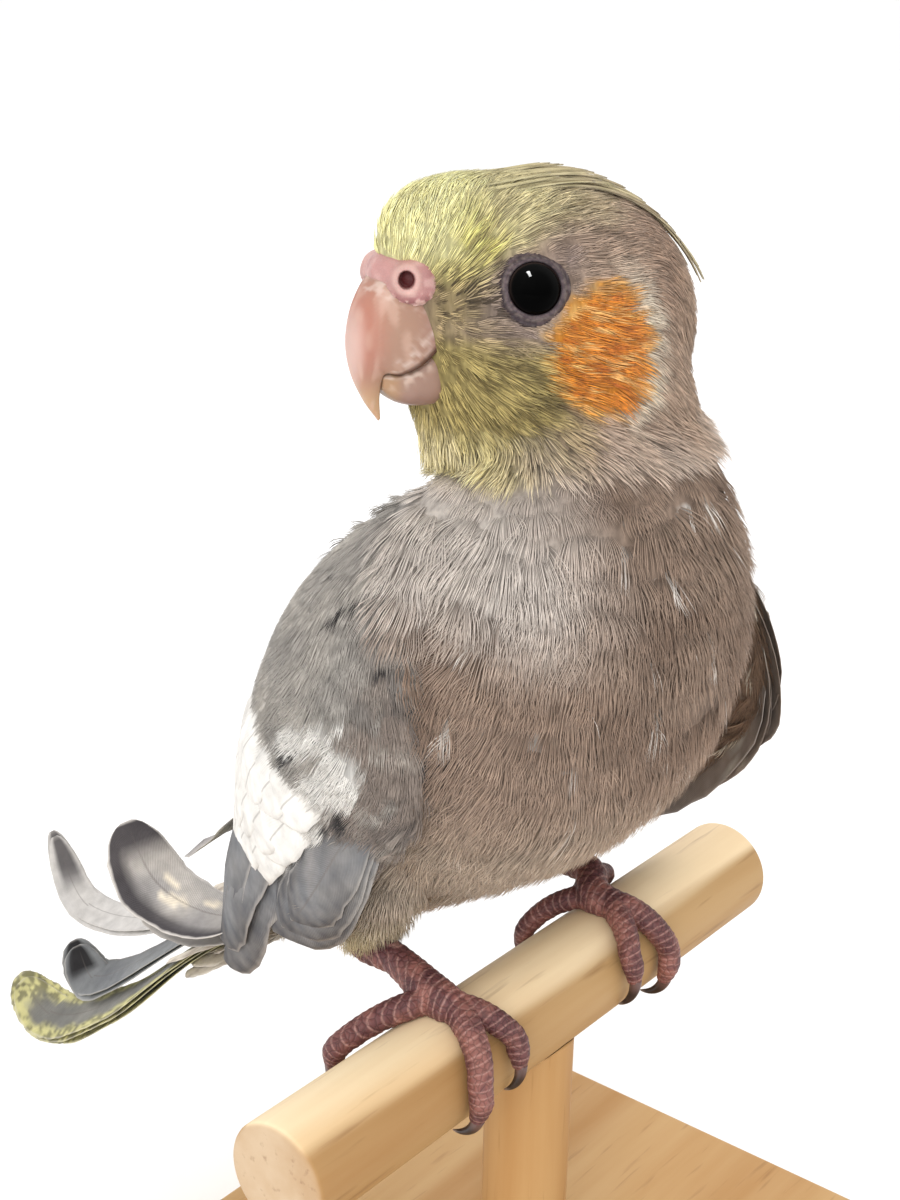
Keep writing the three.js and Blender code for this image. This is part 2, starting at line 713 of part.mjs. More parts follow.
// Crest: narrow feathers from the crown, lying back over the head with their tips a little free.
function crestVane(index) {
  const place = (2 * index) / (CREST_COUNT - 1) - 1;
  const fromAngle = 62 + 24 * Math.abs(vary(index + 3)); // from straight ahead, up and over
  const toAngle = 160 + 12 * vary(index + 11) - 10 * Math.abs(place);
  const rows = [];
  const outs = [];
  const cuts = 5;
  for (let r = 0; r < cuts; r++) {
    const t = r / (cuts - 1);
    const angle = (fromAngle + (toAngle - fromAngle) * t) * DEGREE;
    const sideways = (place * CREST_SPREAD * (1 + 0.25 * t)) / HEAD_HALF_WIDTH;
    const direction = new THREE.Vector3(Math.cos(angle), sideways, Math.sin(angle)).normalize();
    const out = headNormal(direction);
    const w = CREST_HALF * (0.6 + 0.9 * t - 1.15 * t ** 4);
    const middle = headPoint(direction).addScaledVector(out, -0.8 + 1.5 * t + 0.8 * t ** 3);
    rows.push([-1, 1].map((edge) => middle.clone().addScaledVector(head.left, edge * w)));
    outs.push(out);
  }
  return plateSolid(rows, outs, VANE_HALF);
}

// Thigh: a feathered cone from inside the flank down to the heel.
function thighLine(side) {
  return [
    { point: body.point(-13, side * 14.5, 30), radius: 9 },
    { point: body.point(-13.5, side * 17, 22), radius: 7.6 },
    { point: body.point(-13.6, side * 18.6, 15), radius: 5.4 },
    { point: body.point(-13.4, side * 19.2, 9.6), radius: 3.2 },
  ];
}

// A skin of varying radius along a line that nowhere runs sideways to the body.
function tube(line, grow, around, rows) {
  const path = new THREE.CatmullRomCurve3(line.map((station) => station.point));
  const widths = line.map((station, i) => new THREE.Vector3(i, station.radius, 0));
  const radii = new THREE.CatmullRomCurve3(widths);
  const rings = [];
  for (let r = 0; r <= rows; r++) {
    const t = r / rows;
    const along = path.getTangent(t);
    const over = new THREE.Vector3().crossVectors(along, body.left).normalize();
    const side = new THREE.Vector3().crossVectors(over, along).normalize();
    const radius = radii.getPoint(t).y + grow;
    rings.push(ring(path.getPoint(t), side, over, radius, radius, around));
  }
  return loft(rings);
}

// A point beside the dowel: along it, turned from its top towards the bird's front, and out from the axis.
function onDowel(x, angle, radius) {
  return new THREE.Vector3(
    x,
    -radius * Math.sin(angle * DEGREE),
    PERCH_HEIGHT + radius * Math.cos(angle * DEGREE),
  );
}

function dowelGeometry(grow = 0, around = 36) {
  const radius = DOWEL_RADIUS + grow;
  const halfLength = DOWEL_LENGTH / 2 + grow;
  const profile = [
    new THREE.Vector2(0, -halfLength),
    new THREE.Vector2(radius - DOWEL_CHAMFER, -halfLength),
    new THREE.Vector2(radius, -halfLength + DOWEL_CHAMFER),
    new THREE.Vector2(radius, halfLength - DOWEL_CHAMFER),
    new THREE.Vector2(radius - DOWEL_CHAMFER, halfLength),
    new THREE.Vector2(0, halfLength),
  ];
  const dowel = new THREE.LatheGeometry(profile, around);
  dowel.rotateZ(-Math.PI / 2);
  dowel.translate(0, 0, PERCH_HEIGHT);
  return dowel;
}

// Toes, two forward and two back: where each ends along the dowel and how far round it.
const TOES = [
  { name: "outer_front", x: 4.2, from: 6, to: 108, thick: 1 },
  { name: "inner_front", x: -4.4, from: 6, to: 84, thick: 0.95 },
  { name: "outer_back", x: 12.5, from: -14, to: -78, thick: 0.95 },
  { name: "inner_back", x: -6.5, from: -14, to: -92, thick: 0.85 },
];
const TOE_RISE = DOWEL_RADIUS + GAP + TOE_RADIUS * 0.75;

const footMiddle = (side) => (side > 0 ? FOOT_PLACE.left : FOOT_PLACE.right);

function toeLine(side, toe) {
  const footX = footMiddle(side);
  const line = [];
  const steps = 6;
  for (let i = 0; i <= steps; i++) {
    const t = i / steps;
    const spread = Math.min(t * 1.5, 1);
    const angle = toe.from + (toe.to - toe.from) * t;
    const rise = TOE_RISE + 0.5 * Math.sin(Math.PI * t);
    const radius = TOE_RADIUS * toe.thick * (1.12 - 0.3 * t) * (i === steps ? 0.66 : 1);
    line.push({ point: onDowel(footX + side * toe.x * spread, angle, rise), radius });
  }
  return line;
}

function shankLine(side) {
  return [
    { point: body.point(-13.8, side * 19.2, 11.2), radius: 2.5 },
    { point: body.point(-11.5, side * 19.2, 10.9), radius: 2.3 },
    { point: body.point(-7, side * 18.9, 10.8), radius: 2.1 },
    { point: onDowel(footMiddle(side), -10, TOE_RISE + 0.4), radius: 2.6 },
    { point: onDowel(footMiddle(side), 12, TOE_RISE), radius: 2.2 },
  ];
}

function clawGeometry(side, toe) {
  const line = toeLine(side, toe);
  const end = line[line.length - 1].point;
  const before = line[line.length - 2].point;
  const along = end.clone().sub(before).normalize();
  const axisPoint = new THREE.Vector3(end.x, 0, PERCH_HEIGHT);
  const inward = axisPoint.sub(end).normalize();
  const across = new THREE.Vector3().crossVectors(along, inward).normalize();
  const rings = [];
  const rows = 4;
  for (let r = 0; r <= rows; r++) {
    const t = r / rows;
    const sweep = CLAW_SWEEP * t;
    const step = (CLAW_LENGTH * Math.sin(sweep)) / CLAW_SWEEP + 1.25;
    const dip = (CLAW_LENGTH * (1 - Math.cos(sweep))) / CLAW_SWEEP;
    const middle = end
      .clone()
      .addScaledVector(along, step)
      .addScaledVector(inward, dip - 0.5);
    const over = inward.clone().applyAxisAngle(across, sweep).negate();
    const radius = CLAW_RADIUS * (1 - t) + 0.12;
    rings.push(ring(middle, across, over, radius * 0.85, radius, 6));
  }
  return loft(rings);
}

// Stand: a flat base with eased top edges, and a round post up to the underside of the dowel.
function baseGeometry() {
  const rings = [];
  const corner = (inset, z) => {
    const x = BASE_LENGTH / 2 - inset;
    const y = BASE_WIDTH / 2 - inset;
    return [
      new THREE.Vector3(-x, -y, z),
      new THREE.Vector3(x, -y, z),
      new THREE.Vector3(x, y, z),
      new THREE.Vector3(-x, y, z),
    ];
  };
  rings.push(corner(0, 0), corner(0, BASE_THICKNESS - BASE_EDGE), corner(BASE_EDGE, BASE_THICKNESS));
  return loft(rings);
}

function postSolid() {
  const height = PERCH_HEIGHT - BASE_THICKNESS - GAP;
  const post = new THREE.CylinderGeometry(POST_RADIUS, POST_RADIUS, height, 32);
  post.rotateX(Math.PI / 2);
  post.translate(0, 0, BASE_THICKNESS + GAP + height / 2);
  return solid(post).subtract(solid(dowelGeometry(GAP)));
}

// Making and parting the body.
const perchClearance = solid(dowelGeometry(GAP));
const wideTrunk = solid(trunkGeometry(GAP));
const roundTrunk = solid(trunkGeometry(3 * GAP, 18, 12)); // coarser and wider still, for the wings
const wideHead = solid(headGeometry(GAP));
const flesh = solid(trunkGeometry()).add(solid(headGeometry()));

// A cut across the body: where it crosses the middle plane, and the way its normal points there.
function crossCut(forward, upward, toFront, toTop) {
  const normal = new THREE.Vector3().addScaledVector(body.forward, toFront).addScaledVector(up, toTop);
  return { point: body.point(forward, 0, upward), normal };
}
const headCut = crossCut(-1, 77.5, -0.12, 1);
const neckCut = crossCut(1.5, 65, -0.1, 1);
const rumpCut = crossCut(-33.5, 7.2, 1, 0.75);

const upperBill = solid(billGeometry(UPPER_BILL));
const wideUpperBill = solid(billGeometry(UPPER_BILL, GAP));
const lowerBill = solid(billGeometry(LOWER_BILL));
const wideLowerBill = solid(billGeometry(LOWER_BILL, GAP));
const cere = cereSolid();

const eyes = { left: eyePlace(1), right: eyePlace(-1) };
let headSolid = half(flesh, headCut.point, headCut.normal, 1);
for (const place of Object.values(eyes)) {
  headSolid = headSolid.add(solid(lidGeometry(place)));
  headSolid = headSolid.subtract(solid(ballGeometry(place.middle, EYE_RADIUS + GAP, 14, 9)));
}
headSolid = headSolid.subtract(wideUpperBill).subtract(wideLowerBill);
for (let index = 0; index < CREST_COUNT; index++) headSolid = headSolid.add(crestVane(index));
const belowHead = half(flesh, headCut.point, headCut.normal, -1);
const neckSolid = half(belowHead, neckCut.point, neckCut.normal, 1);
const belowNeck = half(belowHead, neckCut.point, neckCut.normal, -1);
const trunkSolid = half(belowNeck, rumpCut.point, rumpCut.normal, 1);

addNode("head", geometryOf(headSolid), looks.face);
addNode("neck", geometryOf(neckSolid), looks.breast);
addNode("torso", geometryOf(trunkSolid), looks.breast);
for (const [name, place] of Object.entries(eyes)) {
  addNode(`eye_${name}`, ballGeometry(place.middle, EYE_RADIUS, 14, 9), looks.eye);
}
addNode("bill_upper", geometryOf(upperBill), looks.bill);
addNode("bill_lower", geometryOf(lowerBill.subtract(wideUpperBill)), looks.bill);
addNode("cere", geometryOf(cere.subtract(wideHead).subtract(wideUpperBill)), looks.cere);

const rumpEnd = half(belowHead, rumpCut.point, rumpCut.normal, -1);
const tailCore = solid(tailCoreGeometry());
const rumpShift = rumpCut.normal.clone().normalize().multiplyScalar(-GAP);
const torsoEnd = half(wideTrunk, rumpCut.point, rumpCut.normal, 1).translate(rumpShift.toArray());
const tailSolid = joined([rumpEnd, tailCore, ...tailVanes(), ...tailCovertVanes()]);
addNode("tail", geometryOf(tailSolid.subtract(torsoEnd)), looks.tail);

for (const [name, side] of [["left", 1], ["right", -1]]) {
  const thigh = solid(tube(thighLine(side), 0, 14, 7));
  const wideThigh = solid(tube(thighLine(side), GAP, 14, 7));
  const shank = solid(tube(shankLine(side), 0, 9, 6));
  const toes = TOES.map((toe) => solid(tube(toeLine(side, toe), 0, 7, 7)));
  const foot = joined([shank, ...toes]).subtract(perchClearance).subtract(wideThigh);
  const feathers = side > 0 ? wingVanes(side) : [...wingVanes(side), ...curledVanes()];
  const wing = joined([solid(wingCoreGeometry(side)), ...feathers]);
  addNode(`thigh_${name}`, geometryOf(thigh.subtract(wideTrunk)), looks.breast);
  addNode(`foot_${name}`, geometryOf(foot), looks.foot);
  addNode(`wing_${name}`, geometryOf(wing.subtract(roundTrunk).subtract(wideThigh)), looks.wing);
  for (const toe of TOES) {
    const claw = solid(clawGeometry(side, toe)).subtract(perchClearance);
    const wideToe = solid(tube(toeLine(side, toe), GAP, 7, 7));
    addNode(`claw_${name}_${toe.name}`, geometryOf(claw.subtract(wideToe)), looks.claw);
  }
}

addNode("perch", dowelGeometry(), looks.wood);
addNode("stand_post", geometryOf(postSolid()), looks.wood);
addNode("stand_base", baseGeometry(), looks.wood);

export default part;
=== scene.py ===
"""A young cockatiel at life size on a wooden T perch, its head turned over its right shoulder.

Shapes are worked out in millimetres in the row's frame: +Z up, the dowel along X, the floor at Z = 0.
Each part of the bird is a function of a few stations, sampled finely for the skin, the coat and the feathers.
Left and right are the bird's own. Where places are named f, l and u, these are forward, left and up.
"""

import json
import math
from types import SimpleNamespace

import bpy
import numpy as np
from mathutils import Matrix, Vector
from mathutils.bvhtree import BVHTree
from mathutils.kdtree import KDTree

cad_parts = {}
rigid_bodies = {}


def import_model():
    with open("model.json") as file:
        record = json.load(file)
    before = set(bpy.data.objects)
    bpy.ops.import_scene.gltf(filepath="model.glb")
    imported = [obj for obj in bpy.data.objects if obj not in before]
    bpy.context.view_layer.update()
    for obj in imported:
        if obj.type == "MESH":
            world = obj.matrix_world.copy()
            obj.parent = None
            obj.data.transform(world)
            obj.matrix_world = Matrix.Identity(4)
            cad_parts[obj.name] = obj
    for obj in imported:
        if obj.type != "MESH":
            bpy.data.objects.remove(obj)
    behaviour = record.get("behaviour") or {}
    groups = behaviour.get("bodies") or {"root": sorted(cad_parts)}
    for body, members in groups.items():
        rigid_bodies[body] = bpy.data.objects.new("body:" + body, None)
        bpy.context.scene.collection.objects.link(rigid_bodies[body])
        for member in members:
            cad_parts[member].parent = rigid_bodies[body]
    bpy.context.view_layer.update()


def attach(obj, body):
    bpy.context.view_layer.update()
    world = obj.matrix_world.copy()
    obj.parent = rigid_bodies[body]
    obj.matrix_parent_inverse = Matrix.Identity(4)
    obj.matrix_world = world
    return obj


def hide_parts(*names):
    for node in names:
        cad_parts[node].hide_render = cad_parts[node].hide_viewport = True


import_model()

MM = 0.001
# The bird's two sides, by the sign of X
SIDES = {1: "left", -1: "right"}

# Driving dimensions, as in the solids
DOWEL_RADIUS = 7.5
DOWEL_LENGTH = 104.0
DOWEL_CHAMFER = 0.8
PERCH_HEIGHT = 62.0
BASE_LENGTH = 108.0
BASE_WIDTH = 102.0
BASE_THICKNESS = 10.0
POST_RADIUS = 6.2
GAP = 0.3

BODY_TURN = 8
TAIL_TURN = 4
HEAD_TURN = 112
HEAD_FRONT = 20.0
HEAD_BACK = 20.5
HEAD_TOP = 18.4
HEAD_BOTTOM = 21.0
HEAD_HALF_WIDTH = 15.2

EYE_RADIUS = 3.6
EYE_SINK = 0.66
EYE_FORWARD = 9.2
EYE_UP = 6.9

TOE_RADIUS = 1.75
CLAW_LENGTH = 4.6
FOOT_PLACE = {1: 16.6, -1: -19.4}

# Camera: where it stands, how far its view turns, dips and rolls, and its lens for a 36 mm high picture
CAMERA_PLACE = (-0.1885, -0.1325, 0.2084)
CAMERA_AZIMUTH = 51.715
CAMERA_DIP = 20.617
CAMERA_ROLL = 1.324
CAMERA_LENS = 57.0

# How deep the coat is over the skin
BODY_COAT = 1.3
HEAD_COAT = 0.9
THIGH_COAT = 0.9
TAIL_COAT = 0.8
# The size of the steps in which joined skins are made
SKIN_GRAIN = 0.7
CERE_GRAIN = 0.17
FOOT_GRAIN = 0.18
# Each small feather walks over the skin in so many steps, and each of its barbs has so many cuts
WALK_STEPS = 3
BARB_CUTS = 3
# The crest's loose strands, and how many of them have free tips
CREST_STRANDS = 130
CREST_FREE = 12
# How far from an eye's middle line the skin is bare, and how far from a wing's sheet the wing's coat grows
EYE_BARE = 3.4
WING_NEAR = 2.8

# The trunk: forward, left, up, half width, half depth, from inside the head to the root of the tail
TRUNK = np.array([
    [-2, 3.5, 93, 15, 15],
    [0, 3, 81, 17.4, 17],
    [2, 1.2, 70, 22.4, 20.5],
    [1, 0.5, 58, 26, 23.2],
    [-3.5, 0, 47, 27, 23.6],
    [-11, 0, 35.5, 24.4, 20.2],
    [-20, 0, 24, 19.2, 15],
    [-30, 0, 12.5, 13.2, 10],
    [-41, 0, 2, 8.5, 5.6],
], float)

# The wing: forward, up, out, deep, and the angles from straight ahead at which it starts and ends
WING = np.array([
    [1, 78, 15, 14, 90, 122],
    [0, 70, 21.6, 19.4, 90, 142],
    [-3, 59, 28, 24.6, 75, 152],
    [-8, 47, 30.6, 28.4, 58, 157],
    [-15, 34.5, 30.4, 28.6, 61, 160],
    [-23, 22.5, 28, 25.4, 66, 160],
    [-32, 10.5, 24, 18.6, 76, 154],
    [-41, -2, 20, 12, 90, 134],
], float)
WING_LIFT = {1: math.radians(9), -1: 0.0}
WING_OUT = {1: 3.0, -1: 0.0}
WING_AHEAD = {1: 6.0, -1: 0.0}
WING_THICKNESS = 6.5

# How far forward the wing's own soft feathers reach: places along the wing, and v there
WING_EDGE = (
    [0, 0.05, 0.1, 0.16, 0.18, 0.21, 0.25, 0.3],
    [-1, -0.9, -0.55, 0.0, 0.28, 0.66, 0.86, 1.1],
)
# The wing's length from shoulder to tip and half its width, for measuring its markings in mm
WING_SPAN = (88.0, 26.0)
# The right wing's white patches and the dark marks between them, as outlines and lines of (u, v)
WHITE_OUTLINES = [
    [(0.49, 0.02), (0.45, 0.12), (0.41, 0.26), (0.38, 0.44), (0.42, 0.46), (0.46, 0.33), (0.52, 0.16)],
    [(0.47, 0.34), (0.42, 0.44), (0.40, 0.58), (0.44, 0.66), (0.49, 0.62), (0.53, 0.50), (0.53, 0.38)],
    [(0.57, -0.95), (0.58, -0.22), (0.58, 0.10), (0.57, 0.30), (0.56, 0.44), (0.53, 0.50), (0.52, 0.62),
     (0.58, 0.66), (0.66, 0.64), (0.72, 0.60), (0.80, 0.50), (0.86, 0.24), (0.91, -0.14), (0.91, -0.95)],
]
DARK_MARKS = [
    # from u, v to u, v, and the mark's half width in mm
    (0.305, 0.05, 0.225, 0.34, 0.75),
    (0.290, 0.70, 0.300, 0.94, 0.9),
    (0.315, 0.86, 0.335, 1.00, 1.0),
    (0.475, 0.28, 0.540, 0.16, 0.45),
    (0.490, 0.62, 0.510, 0.66, 0.95),
    (0.545, 0.62, 0.580, 0.70, 0.6),
    (0.350, 0.98, 0.385, 1.00, 0.9),
]
# Rows of wing feathers: kind, count, where roots and tips lie along the wing, half width, lift, reach in v
RIGHT_ROWS = [
    ("flight", 6, 0.56, 1.03, 4.5, 0.1, -0.80, 0.60),
    ("flight", 7, 0.54, 0.95, 4.1, 0.4, -0.80, 0.74),
    ("white", 7, 0.56, 0.90, 5.0, 1.2, -0.60, 0.44),
    ("white", 6, 0.52, 0.80, 4.8, 1.5, -0.45, 0.46),
    ("white", 5, 0.48, 0.70, 4.4, 1.6, -0.25, 0.46),
]
# Broad feathers nested at the right wing's two lobes: start and end in (u, v), half width, lift
LOBES = [
    ((0.60, 0.02), (1.02, 0.06), 7.6, 1.9),
    ((0.60, 0.34), (1.08, 0.54), 7.0, 1.2),
    ((0.60, 0.26), (1.02, 0.36), 6.0, 2.2),
    ((0.48, 0.70), (0.84, 0.97), 6.2, 1.4),
    ((0.48, 0.70), (0.79, 0.92), 5.3, 1.9),
    ((0.48, 0.70), (0.74, 0.87), 4.3, 2.4),
]
# The left wing shows its front edge beside the breast, so its coverts are whole feathers there
LEFT_ROWS = [
    ("flight", 6, 0.52, 1.03, 4.7, 0.5, -0.88, 0.60),
    ("flight", 7, 0.46, 0.93, 4.5, 0.9, -0.86, 0.72),
    ("front", 5, 0.42, 0.83, 4.6, 1.2, 0.66, 1.02),
    ("covert", 9, 0.36, 0.70, 4.2, 1.3, -0.94, 0.98),
    ("covert", 12, 0.36, 0.61, 3.7, 1.7, -0.94, 0.98),
    ("covert", 13, 0.30, 0.54, 3.4, 1.5, -0.94, 1.0),
    ("covert", 13, 0.25, 0.47, 3.2, 1.1, -0.94, 1.0),
    ("white", 7, 0.56, 0.88, 5.0, 1.9, -0.70, 0.02),
    ("white", 6, 0.52, 0.78, 4.8, 2.2, -0.66, -0.02),
    ("white", 5, 0.48, 0.68, 4.4, 2.3, -0.60, -0.06),
]

# The right wing's longest feathers, which curl up behind it: the line forward, left and up in the body's
# frame, then half width, kind and tilt
CURLED = [
    (
        [(-30, -14, 34), (-40, -15, 22), (-49, -15.5, 13), (-55, -16, 9)],
        6.8, "grey", 0.15,
    ),
    (
        [(-36, -16.5, 8), (-43, -17, 1.5), (-53, -18, -2), (-64, -19, -1), (-71, -19.5, 7)],
        5.6, "banded", 0.5,
    ),
    (
        [(-36, -14, 5), (-44, -14.5, -2), (-54, -15.5, -6.5), (-63, -16.5, -7), (-68, -17, -4)],
        5.0, "grey", 0.15,
    ),
]

# The tail's three bundles: kind, how many feathers, half width, the line of the top one (forward, left and up),
# and how many rows and columns each has
TAIL_BUNDLES = [
    (
        "pale", 2, 2.9,
        [(0, 0.4, 4.4), (-22, 0.8, -9), (-47, 1.6, -26.5), (-70, 2.2, -33), (-80, 2.4, -22)], (34, 13),
    ),
    (
        "slate", 2, 3.6,
        [(0, -1.5, 1.6), (-22, -3, -12.4), (-45, -4.8, -31.5), (-58, -5.6, -40), (-63, -6, -34.5)], (34, 13),
    ),
    (
        "speckled", 3, 4.4,
        [(0, -3.5, -1.1), (-22, -6, -15.8), (-45, -9.5, -37), (-63, -10.5, -48), (-74, -11, -44.5)], (90, 21),
    ),
]
# In a bundle each feather is so much lower and so much shorter than the last, and tilted about its shaft
TAIL_STEP = 0.35
TAIL_SHORTER = 1.5
TAIL_TILT = 0.75

UPPER_BILL = np.array([
    # ridge forward, ridge up, cutting edge forward, cutting edge up, half width
    [17.2, 8.6, 14.8, 1.6, 5.0],
    [22.6, 7.9, 17.3, -0.9, 5.2],
    [25.4, 4.6, 19.6, -3.0, 4.8],
    [26.7, 0.0, 21.7, -4.1, 3.7],
    [26.3, -4.2, 23.3, -4.2, 2.5],
    [24.8, -7.7, 23.3, -7.0, 1.25],
    [22.9, -10.4, 22.7, -10.1, 0.3],
])
LOWER_BILL = np.array([
    # lip forward, lip up, chin forward, chin up, half width
    [14.2, 1.2, 13.8, -8.0, 4.0],
    [17.4, -0.4, 16.8, -8.6, 4.75],
    [19.8, -2.6, 19.4, -8.5, 4.4],
    [21.8, -3.7, 21.4, -7.9, 3.4],
    [23.3, -4.2, 23.1, -6.4, 2.1],
])

# The lids' outline from the eye outwards: how far from the eye's middle line, and how high. Then back inside.
LID_PROFILE = [
    (3.02, 1.7), (3.06, 2.0), (3.18, 2.08), (3.4, 2.04), (3.65, 1.88), (3.9, 1.65), (4.15, 1.3), (4.4, 0.8),
]
LID_INSIDE = [(4.1, 0.4), (3.6, 0.3), (3.1, 0.8)]
# Where the small bright light shows on the left eye, across and over its middle, as shares of its radius
GLINT = (-0.28, 0.48)

TOES = [
    # name, along the dowel, from and to degrees round it, thickness
    ("outer_front", 4.2, 6, 108, 1.0),
    ("inner_front", -4.4, 6, 84, 0.95),
    ("outer_back", 12.5, -14, -78, 0.95),
    ("inner_back", -6.5, -14, -92, 0.85),
]
TOE_RISE = DOWEL_RADIUS + GAP + TOE_RADIUS * 0.75
# How far each claw's root reaches back into its toe
CLAW_ROOT = 1.3

# What the wood's colour is multiplied by: its own tone, which on the dowel's sides is painted shade; a painted
# highlight along the dowel's top; and on its cut ends
WOOD_TONE_AND_SHADE = np.array([0.5, 0.39, 0.27])
WOOD_PAINTED_LIGHT = np.array([0.96, 0.96, 0.98])
WOOD_END = np.array([0.6, 0.55, 0.56])

UP = np.array([0.0, 0.0, 1.0])


def unit(v):
    return v / np.maximum(np.linalg.norm(v, axis=-1, keepdims=True), 1e-9)


def smoothstep(start, end, x):
    t = np.clip((x - start) / (end - start), 0, 1)
    return t * t * (3 - 2 * t)


def catmull(values, t):
    """Smooth values through evenly spaced stations, t from 0 to 1."""
    values = np.asarray(values, float)
    n = len(values) - 1
    x = np.clip(np.asarray(t, float), 0, 1) * n
    i = np.minimum(x.astype(int), n - 1)
    w = x - i
    if values.ndim > 1:
        w = w[..., None]
    padded = np.concatenate([[2 * values[0] - values[1]], values, [2 * values[-1] - values[-2]]])
    p0, p1, p2, p3 = padded[i], padded[i + 1], padded[i + 2], padded[i + 3]
    m1 = 0.5 * (p2 - p0)
    m2 = 0.5 * (p3 - p1)
    cube = w ** 3
    square = w ** 2
    start = (2 * cube - 3 * square + 1) * p1 + (cube - 2 * square + w) * m1
    return start + (3 * square - 2 * cube) * p2 + (cube - square) * m2


def lattice(x, y, z, seed):
    h = (x * 374761393 + y * 668265263 + z * 1440662683 + seed * 1274126177) & 0xFFFFFFFF
    h = ((h ^ (h >> 13)) * 1103515245) & 0xFFFFFFFF
    return ((h ^ (h >> 16)) & 0xFFFF) / 65535.0


def noise(points, size, seed=0):
    """Smooth noise from 0 to 1 over points, with lumps about size across."""
    p = np.asarray(points, float) / size + 1000.0
    base = np.floor(p).astype(np.int64)
    w = p - base
    w = w * w * (3 - 2 * w)
    total = 0
    for corner in range(8):
        dx, dy, dz = corner & 1, (corner >> 1) & 1, corner >> 2
        weight = (
            (w[..., 0] if dx else 1 - w[..., 0])
            * (w[..., 1] if dy else 1 - w[..., 1])
            * (w[..., 2] if dz else 1 - w[..., 2])
        )
        total = total + weight * lattice(base[..., 0] + dx, base[..., 1] + dy, base[..., 2] + dz, seed)
    return total


def colour(red, green, blue):
    """A colour as the eye sees it, 0 to 255, as the light that it gives back."""
    c = np.array([red, green, blue], float) / 255
    return np.where(c <= 0.04045, c / 12.92, ((c + 0.055) / 1.055) ** 2.4)


def blend(a, b, share):
    return a + (b - a) * np.asarray(share)[..., None]


class Turned:
    """A level frame turned to its right about Z: points are forward, left and up from its middle."""

    def __init__(self, degrees, middle):
        turn = math.radians(degrees)
        self.forward = np.array([-math.sin(turn), -math.cos(turn), 0.0])
        self.left = np.cross(UP, self.forward)
        self.middle = np.asarray(middle, float)

    def point(self, forward, left, up):
        f, l, u = np.broadcast_arrays(np.asarray(forward, float), left, up)
        return self.middle + f[..., None] * self.forward + l[..., None] * self.left + u[..., None] * UP

    def direction(self, forward, left, up):
        return self.point(forward, left, up) - self.middle

    def local(self, points):
        away = np.asarray(points) - self.middle
        return np.stack([away @ self.forward, away @ self.left, away[..., 2]], -1)


BODY = Turned(BODY_TURN, (0, 0, PERCH_HEIGHT))
HEAD = Turned(HEAD_TURN, BODY.point(-3, 0, 96.5))
TAIL = Turned(TAIL_TURN, BODY.point(-41, 0, 2))

# Colours of the plumage, named after where they are on the bird
YELLOW = colour(238, 230, 140)
OLIVE = colour(126, 110, 68)
CHEEK_YELLOW = colour(190, 172, 112)
THROAT = colour(230, 216, 152)
PALE_YELLOW = colour(232, 222, 172)
FOREHEAD = colour(252, 246, 190)
ORANGE = colour(236, 148, 40)
ORANGE_PALE = colour(250, 206, 132)
ORANGE_EDGE = colour(244, 192, 96)
RUST = colour(190, 98, 28)
CREAM = colour(240, 228, 208)
TAUPE = colour(176, 148, 128)
HEAD_GREY = colour(202, 178, 158)
NAPE = colour(178, 154, 134)
LORES = colour(66, 54, 40)
BREAST = colour(181, 157, 139)
BREAST_PALE = colour(236, 228, 220)
BREAST_WARM = colour(154, 130, 113)
BELLY = colour(218, 200, 180)
THIGH_CREAM = colour(214, 198, 150)
BACK_GREY = colour(150, 146, 142)
LILAC = colour(158, 142, 142)
WING_GREY = colour(168, 163, 157)
WING_SOFT = colour(190, 184, 176)
WING_BROWN = colour(146, 130, 120)
WING_DARK = colour(52, 50, 56)
WING_WHITE = colour(238, 235, 230)
WING_BLUE = colour(104, 108, 115)
# The left wing's front edge in painted shade
LEFT_WING_SHADE = colour(150, 122, 100)
FREE_DARK = colour(62, 58, 62)
VANE_EDGE = colour(222, 216, 210)
VANE_SHAFT = colour(110, 102, 98)
CREST_PALE = colour(232, 224, 178)
CREST_DARK = colour(140, 126, 88)
PINE = colour(224, 190, 142)
PINE_PALE = colour(248, 226, 186)
PINE_PORE = colour(150, 108, 70)


class Shape:
    """Points, triangles and what goes with each point, gathered piece by piece.

    Each feather has a cell of its own on the piece's texture sheet, which has so many cells to a side.
    """

    def __init__(self, cells=1):
        self.points = []
        self.triangles = []
        self.tints = []
        self.patches = []
        self.spots = []
        self.count = 0
        self.cells = cells
        self.feathers = 0

    def add(self, points, triangles, tints, patches=None, spots=None):
        self.points.append(np.asarray(points, float).reshape(-1, 3))
        self.triangles.append(np.asarray(triangles, int).reshape(-1, 3) + self.count)
        added = len(self.points[-1])
        self.tints.append(np.asarray(tints, float).reshape(added, -1))
        if patches is not None:
            self.patches.append(np.asarray(patches, float).reshape(added, 2))
        if spots is not None:
            self.spots.append(np.asarray(spots, float).reshape(added, 2))
        self.count += added


def write_map(mesh, name, corners, values):
    layer = mesh.uv_layers.new(name=name)
    layer.data.foreach_set("uv", values[corners].astype(np.float32).ravel())


def linked(name, data):
    """A new object in the scene."""
    made = bpy.data.objects.new(name, data)
    bpy.context.scene.collection.objects.link(made)
    return made


